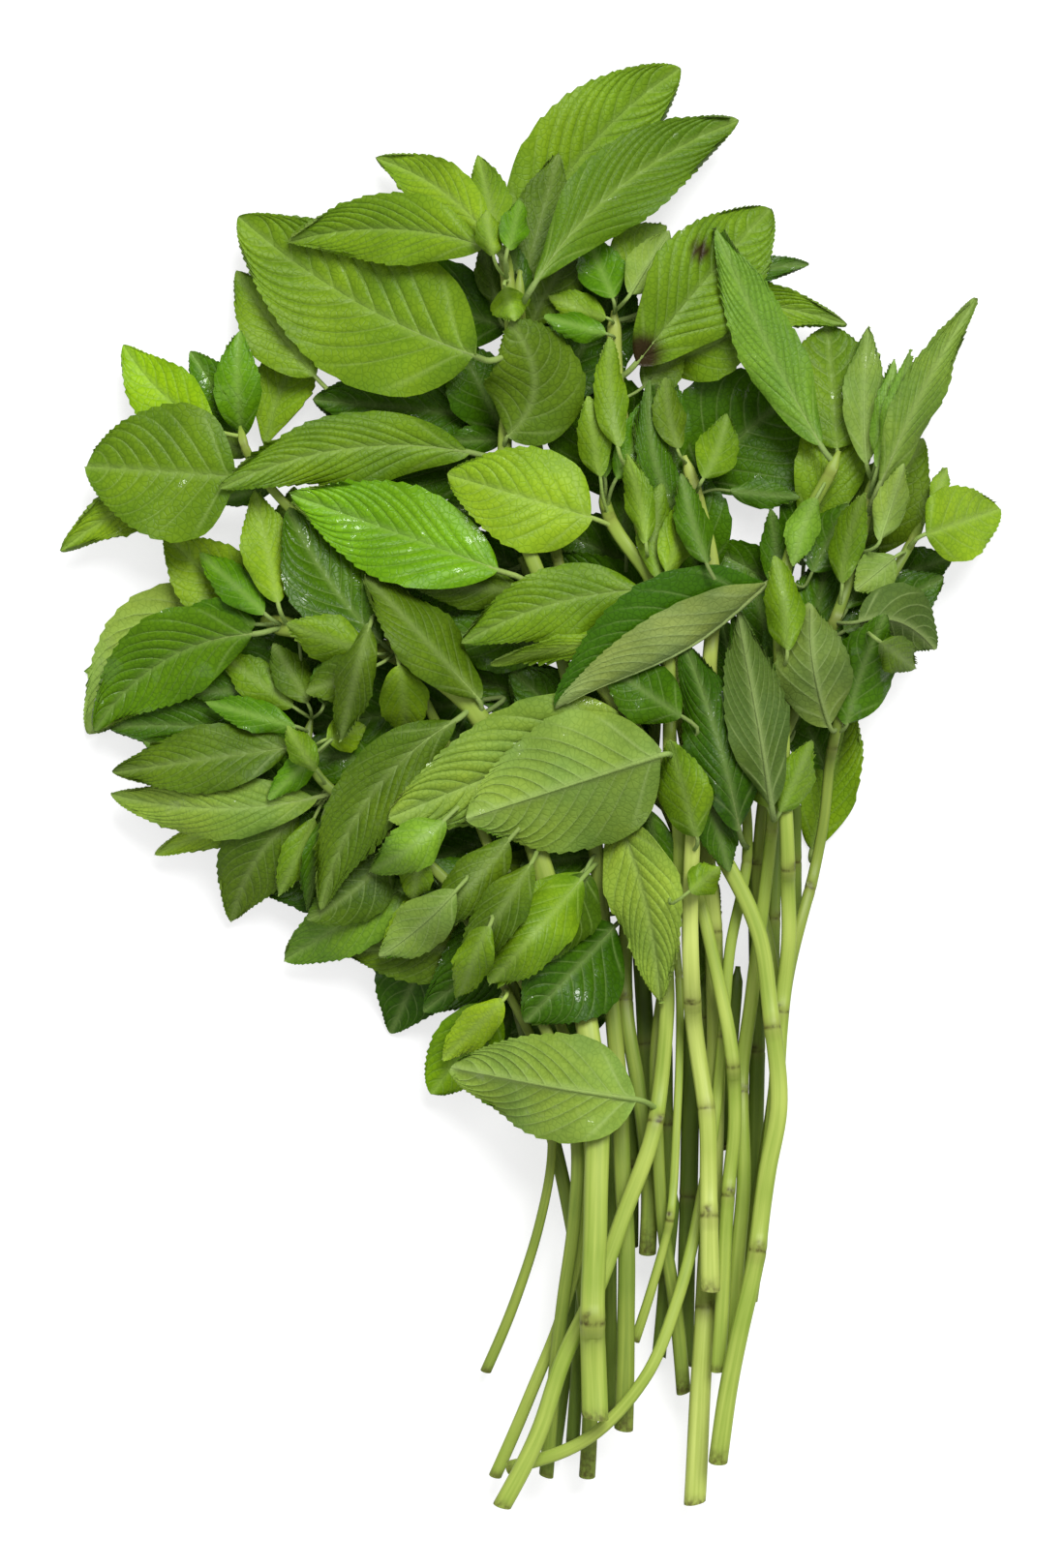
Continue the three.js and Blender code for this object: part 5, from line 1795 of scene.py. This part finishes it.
        SmallLeaf("h", Slot.OLIVE, (69, 31), (80, 24), 8),
    ),
    "sprig_h_leaf_3": (
        SmallLeaf("q", Slot.MATURE, (50, -9), (58, 9), 8),
        SmallLeaf("q", Slot.LIGHT, (50, -8), (42, 12), 6),
    ),
    "sprig_q_leaf_1": (
        SmallLeaf("b", Slot.MATURE, (35, -14), (29, 9), 11),
        SmallLeaf("a", Slot.DARK, (34, 12), (15, 25), 13),
        SmallLeaf("a", Slot.LIGHT, (30, -24), (39, -17), 7, rise=1),
    ),
    "sprig_a_leaf_4": (
        SmallLeaf("a", Slot.LIGHT, (28, 30), (-8, 25), 5, bow=-1),
    ),
    "sprig_f_leaf_3": (
        SmallLeaf("l", Slot.OLIVE, (-2, -9), (-21, -31), 10),
        SmallLeaf("l", Slot.BLUISH, (-15, -5), (-33, -18), 10, bow=1),
        SmallLeaf("l", Slot.UNDERSIDE, (-13, -19.5), (-31, -35.5), 11, bow=1),
        SmallLeaf("j", Slot.BRIGHT, (-41, 9), (-54, -3), 6),
        SmallLeaf("j", Slot.LIGHT, (-42, 0), (-50, 12), 6),
        SmallLeaf("b", Slot.OLIVE, (32, 66), (28, 84), 7, bow=1),
        SmallLeaf("b", Slot.MATURE, (34, 60), (41, 77), 9, bow=-1),
        SmallLeaf("f", Slot.BLUISH, (61, 62), (54.5, 45), 7, bow=-1),
        SmallLeaf("f", Slot.MATURE, (52.5, 24), (50.5, 47), 8, bow=-1),
        SmallLeaf("g", Slot.UNDERSIDE, (71, 47), (77, 66), 7),
        SmallLeaf("g", Slot.MATURE, (64, 38), (69, 60), 7, bow=1),
        SmallLeaf("b", Slot.DARK, (38, 42), (31.5, 64), 7, bow=1),
        SmallLeaf("c", Slot.LIGHT, (24, 46), (20, 68), 6, bow=-1),
        SmallLeaf("c", Slot.MATURE, (19, 66), (16.5, 92), 7, bow=1),
        SmallLeaf("i", Slot.OLIVE, (2, -13), (-15, -38), 10, bow=1),
        SmallLeaf("j", Slot.MATURE, (-7, -26), (-15, -44), 8),
    ),
}

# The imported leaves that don't look as their slot says, each with its own kind, tone or spots.
LEAF_LOOKS = {
    "sprig_a_leaf_1": LeafLook(Leafage.GRASS),
    "sprig_a_leaf_5": LeafLook(Leafage.PALE),
    "sprig_c_leaf_2": LeafLook(Leafage.GRASS, blight=((35.0, 110.0, 2.4), (23.0, 88.5, 4.6))),
    "sprig_d_leaf_1": LeafLook(Leafage.GRASS),
    "sprig_d_leaf_2": LeafLook(Leafage.OLIVE),
    "sprig_d_leaf_3": LeafLook(Leafage.MEADOW),
    "sprig_d_leaf_4": LeafLook(Leafage.GRASS),
    "sprig_e_leaf_1": LeafLook(Leafage.MEADOW),
    "sprig_e_leaf_2": LeafLook(Leafage.MEADOW, tone=-0.55),
    "sprig_f_leaf_1": LeafLook(Leafage.GRASS),
    "sprig_f_leaf_3": LeafLook(Leafage.FOLDED, folded=0.56),
    "sprig_g_leaf_1": LeafLook(Leafage.PALE, tone=-0.2),
    "sprig_g_leaf_2": LeafLook(Leafage.BACK_GREY, tone=-0.3),
    "sprig_h_leaf_1": LeafLook(Leafage.GRASS, tone=0.3),
    "sprig_h_leaf_2": LeafLook(Leafage.LIGHT),
    "sprig_h_leaf_3": LeafLook(Leafage.BACK_GREY),
    "sprig_i_leaf_1": LeafLook(Leafage.GLOSSY, tone=-0.2),
    "sprig_i_leaf_2": LeafLook(tone=0.5),
    "sprig_i_leaf_3": LeafLook(Leafage.OLIVE),
    "sprig_i_leaf_4": LeafLook(Leafage.GLOSSY, tone=0.15),
    "sprig_i_leaf_5": LeafLook(tone=-0.2),
    "sprig_j_leaf_1": LeafLook(Leafage.PALE),
    "sprig_k_leaf_1": LeafLook(Leafage.GRASS, tone=0.5),
    "sprig_k_leaf_2": LeafLook(Leafage.YELLOW),
    "sprig_k_leaf_3": LeafLook(Leafage.GRASS, tone=-0.25),
    "sprig_k_leaf_4": LeafLook(Leafage.LIGHT),
    "sprig_l_leaf_1": LeafLook(Leafage.OLIVE, tone=-0.35),
    "sprig_l_leaf_2": LeafLook(tone=-0.2),
    "sprig_l_leaf_3": LeafLook(Leafage.YELLOW),
    "sprig_m_leaf_1": LeafLook(tone=-0.35),
    "sprig_m_leaf_3": LeafLook(tone=-0.8),
    "sprig_m_leaf_4": LeafLook(Leafage.PALE, tone=0.25),
    "sprig_n_leaf_1": LeafLook(tone=-0.3),
    "sprig_q_leaf_1": LeafLook(Leafage.BACK_GREY, tone=-0.7),
}
# The small leaves of these slots lie in more light than the big ones and are painted a little darker
# for it: painted shade.
SMALL_PAINTED_SHADE = {Slot.BRIGHT: -0.3, Slot.LIGHT: -0.15}
BARKS = {"sprig_b_stem": Bark.PALE, "sprig_c_stem": Bark.PALE, "sprig_m_stem": Bark.GREEN}
# Length of the browned end, where it isn't the usual.
DRY_ENDS = {
    "sprig_b_stem": 1.8,
    "sprig_d_stem": 2.5,
    "sprig_f_stem": 3.0,
    "sprig_m_stem": 4.0,
    "sprig_o_stem": 5.0,
    "sprig_p_stem": 3.5,
    "sprig_r_stem": 7.0,
}


class Bunch:
    """The whole bunch, rebuilt piece by piece in the order in which it was laid.

    Attributes:
        slots: The material slot of each packed leaf and stem, in the order of laying.
        stems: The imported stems.
        origin: How far the bunch was moved to centre it.
        pile: The height of what has been laid.
        laid: How many leaves and small pieces that is, which varies the next one.
        counts: How many small pieces of each sprig and kind have a name.
    """

    def __init__(self) -> None:
        """Reads every stem, so that leaves can be joined to them."""
        self.slots = {row["node"]: Slot(row["material_slot"]) for row in frame["record"]["subparts"]}
        self.stems: dict[str, Stem] = {}
        for number, name in enumerate(name for name in self.slots if name.endswith("_stem")):
            self.stems[name] = Stem(
                name=f"{name}_skin",
                rings=read_stem(frame["nodes"][name]),
                bark=BARKS.get(name, USUAL[self.slots[name]]),
                slot=self.slots[name],
                dry=DRY_ENDS.get(name, Stem.dry),
                turn=math.pi / 2 + 0.6 * math.sin(1.9 * number),  # a scar faces up, more or less
            )
        foot_node, foot = STEM_FOOT
        self.origin = self.stems[foot_node].rings[0, :2] - np.array(foot)
        self.pile = Pile(self.origin)
        self.laid = 0
        self.counts: dict[str, int] = {}

    def build(self) -> None:
        """Builds every piece."""
        self.build_small_pieces(TABLE)
        for name in self.slots:
            if name in self.stems:
                self.build_stem(name)
            else:
                self.build_leaf(name)
            self.build_small_pieces(name)

    def build_stem(self, name: str) -> None:
        """Replaces a stem's plain solid.

        Args:
            name: The CAD node.
        """
        stem = self.stems[name]
        self.pile.cover_stem(stem.rings)
        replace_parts(stem.build(), name)

    def build_leaf(self, name: str) -> None:
        """Replaces a leaf's plain solid.

        Args:
            name: The CAD node.
        """
        net = read_leaf(frame["nodes"][name])
        self.pile.cover_net(net)
        sprig = name.split("_")[1]
        look = LEAF_LOOKS.get(name, LeafLook())
        leaf = Leaf(f"{name}_blade", net, self.slots[name], look, self.stem_of(sprig), self.laid)
        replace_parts(leaf.build(), name)
        self.laid += 1

    def build_small_pieces(self, under: str) -> None:
        """Lays what comes straight on top of a solid.

        Args:
            under: The CAD node, or TABLE.
        """
        for small in SMALL_PIECES.get(under, ()):
            if isinstance(small, SideStem):
                self.build_side_stem(small)
            else:
                self.build_small_leaf(small)
            self.laid += 1

    def build_side_stem(self, small: SideStem) -> None:
        """Lays a bare side stem on the pile and builds it.

        Args:
            small: The side stem.
        """
        placed = self.pile.settle(small.net(self.origin), small.thickness)
        name = self.next_name(small.sprig, "side_stem")
        turn = 1.7 * self.laid
        # A side stem takes the deep finish, whose darker colour is partly painted shade.
        Stem(name, small.rings(placed), Bark.DEEP, Slot.STEM_GREEN, turn=turn).build()

    def build_small_leaf(self, small: SmallLeaf) -> None:
        """Lays a small leaf on the pile and builds it.

        Args:
            small: The leaf.
        """
        net = self.pile.settle(small.net(self.laid, self.origin))
        name = self.next_name(small.sprig, "small_leaf")
        # Small leaves of the bright and light slots get a darker tone here, as painted shade.
        look = LeafLook(tone=small.tone + SMALL_PAINTED_SHADE.get(small.slot, 0))
        Leaf(name, net, small.slot, look, self.stem_of(small.sprig), self.laid).build()

    def stem_of(self, sprig: str) -> Stem:
        """The stem of a sprig."""
        return self.stems[f"sprig_{sprig}_stem"]

    def next_name(self, sprig: str, kind: str) -> str:
        """Makes up the name of a sprig's next small piece.

        Args:
            sprig: The sprig's letter.
            kind: What the piece is.

        Returns:
            Its name.
        """
        start = f"sprig_{sprig}_{kind}"
        self.counts[start] = self.counts.get(start, 0) + 1
        return f"{start}_{self.counts[start]}"


@dataclass(frozen=True)
class FloorFinish(Finish):
    """White paper, matt, which comes out white to the camera but lights the bunch like grey.

    Attributes:
        shade: How much of the light it gives back.
        glow: What is added where the camera sees it.
    """

    shade: float
    glow: float

    def looks(self, tree: Tree) -> Inputs:
        """Works out the colour and the glow.

        Args:
            tree: The material's node tree.

        Returns:
            What goes into its shader.
        """
        seen = add_node(tree, "LightPath", output="Is Camera Ray")
        return {
            "Base Color": (*[self.shade] * 3, 1),
            "Roughness": 0.9,
            "Specular IOR Level": 0.0,
            "Emission Color": (1, 1, 1, 1),
            "Emission Strength": add_node(tree, "MapRange", (seen, 0, 1, 0, self.glow)),
        }


@dataclass(frozen=True)
class Studio:
    """A pale floor, soft light from above and a camera that looks straight down.

    Attributes:
        lens: Focal length in millimetres of a long lens, which hardly spreads the pile's height.
        view_height: Height in metres of what the camera takes in.
        aim: Where it looks on the floor.
        floor_size: Half the side of the floor in metres.
        floor_depth: How far the floor lies under the bunch.
        paper: The floor's finish.
        key_strength: Of the soft lamp over the bunch's leafy end.
        key_softness: Degrees that the lamp is wide.
        key_turn: Degrees that it's turned about X and Y, which brings its light from +Y and +X.
        fill: Of the light from all round.
        gloss: Of what the leaves mirror of it.
    """

    lens: float = 180.0
    view_height: float = 0.324
    aim: tuple[float, float] = (0.35, -0.25)
    floor_size: float = 2.0
    floor_depth: float = 0.3
    paper: FloorFinish = FloorFinish("white_paper_floor", shade=0.5, glow=0.7)
    key_strength: float = 2.6
    key_softness: float = 30
    key_turn: tuple[float, float] = (-32, 14)
    fill: float = 0.5
    gloss: float = 0.4

    def camera(self) -> None:
        """Sets the camera over the bunch."""
        low, high = CAD_BOX
        data = bpy.data.cameras.new("camera")
        data.lens = self.lens
        away = self.view_height * self.lens / data.sensor_width
        camera = add_object("camera", data)
        x, y = self.aim
        camera.location = (x * MM, y * MM, (low.z + high.z) / 2 + away)
        bpy.context.scene.camera = camera

    def floor(self) -> None:
        """Lays the floor under the bunch."""
        bm = bmesh.new()
        bmesh.ops.create_grid(bm, x_segments=1, y_segments=1, size=self.floor_size)
        bmesh.ops.translate(bm, vec=(0, 0, -self.floor_depth * MM), verts=bm.verts)
        mesh, _ = write_mesh(bm, "floor")
        mesh.materials.append(self.paper.material())
        add_object("floor", mesh)

    def light(self) -> None:
        """Lights the bunch evenly, with a soft key from beyond its leafy end."""
        sun = bpy.data.lights.new("key", "SUN")
        sun.energy = self.key_strength
        sun.angle = math.radians(self.key_softness)
        add_object("key", sun).rotation_euler = (*map(math.radians, self.key_turn), 0)
        world = bpy.data.worlds.new("soft_box")
        world.use_nodes = True
        tree = world.node_tree
        mirrored = add_node(tree, "LightPath", output="Is Glossy Ray")
        dimmed = add_node(tree, "MapRange", (mirrored, 0, 1, self.fill, self.gloss))
        seen = mirrored.node.outputs["Is Camera Ray"]
        strength = add_node(tree, "Math", (dimmed, seen), operation="MAXIMUM")
        connect(tree.nodes["Background"], {"Color": (1, 1, 1, 1), "Strength": strength})
        bpy.context.scene.world = world
        bpy.context.scene.view_settings.view_transform = "Standard"


def main() -> None:
    """Builds the studio and the bunch."""
    logging.basicConfig(level=logging.INFO, format="%(message)s")
    studio = Studio()
    studio.camera()
    studio.floor()
    studio.light()
    Bunch().build()


if __name__ == "__main__":
    main()
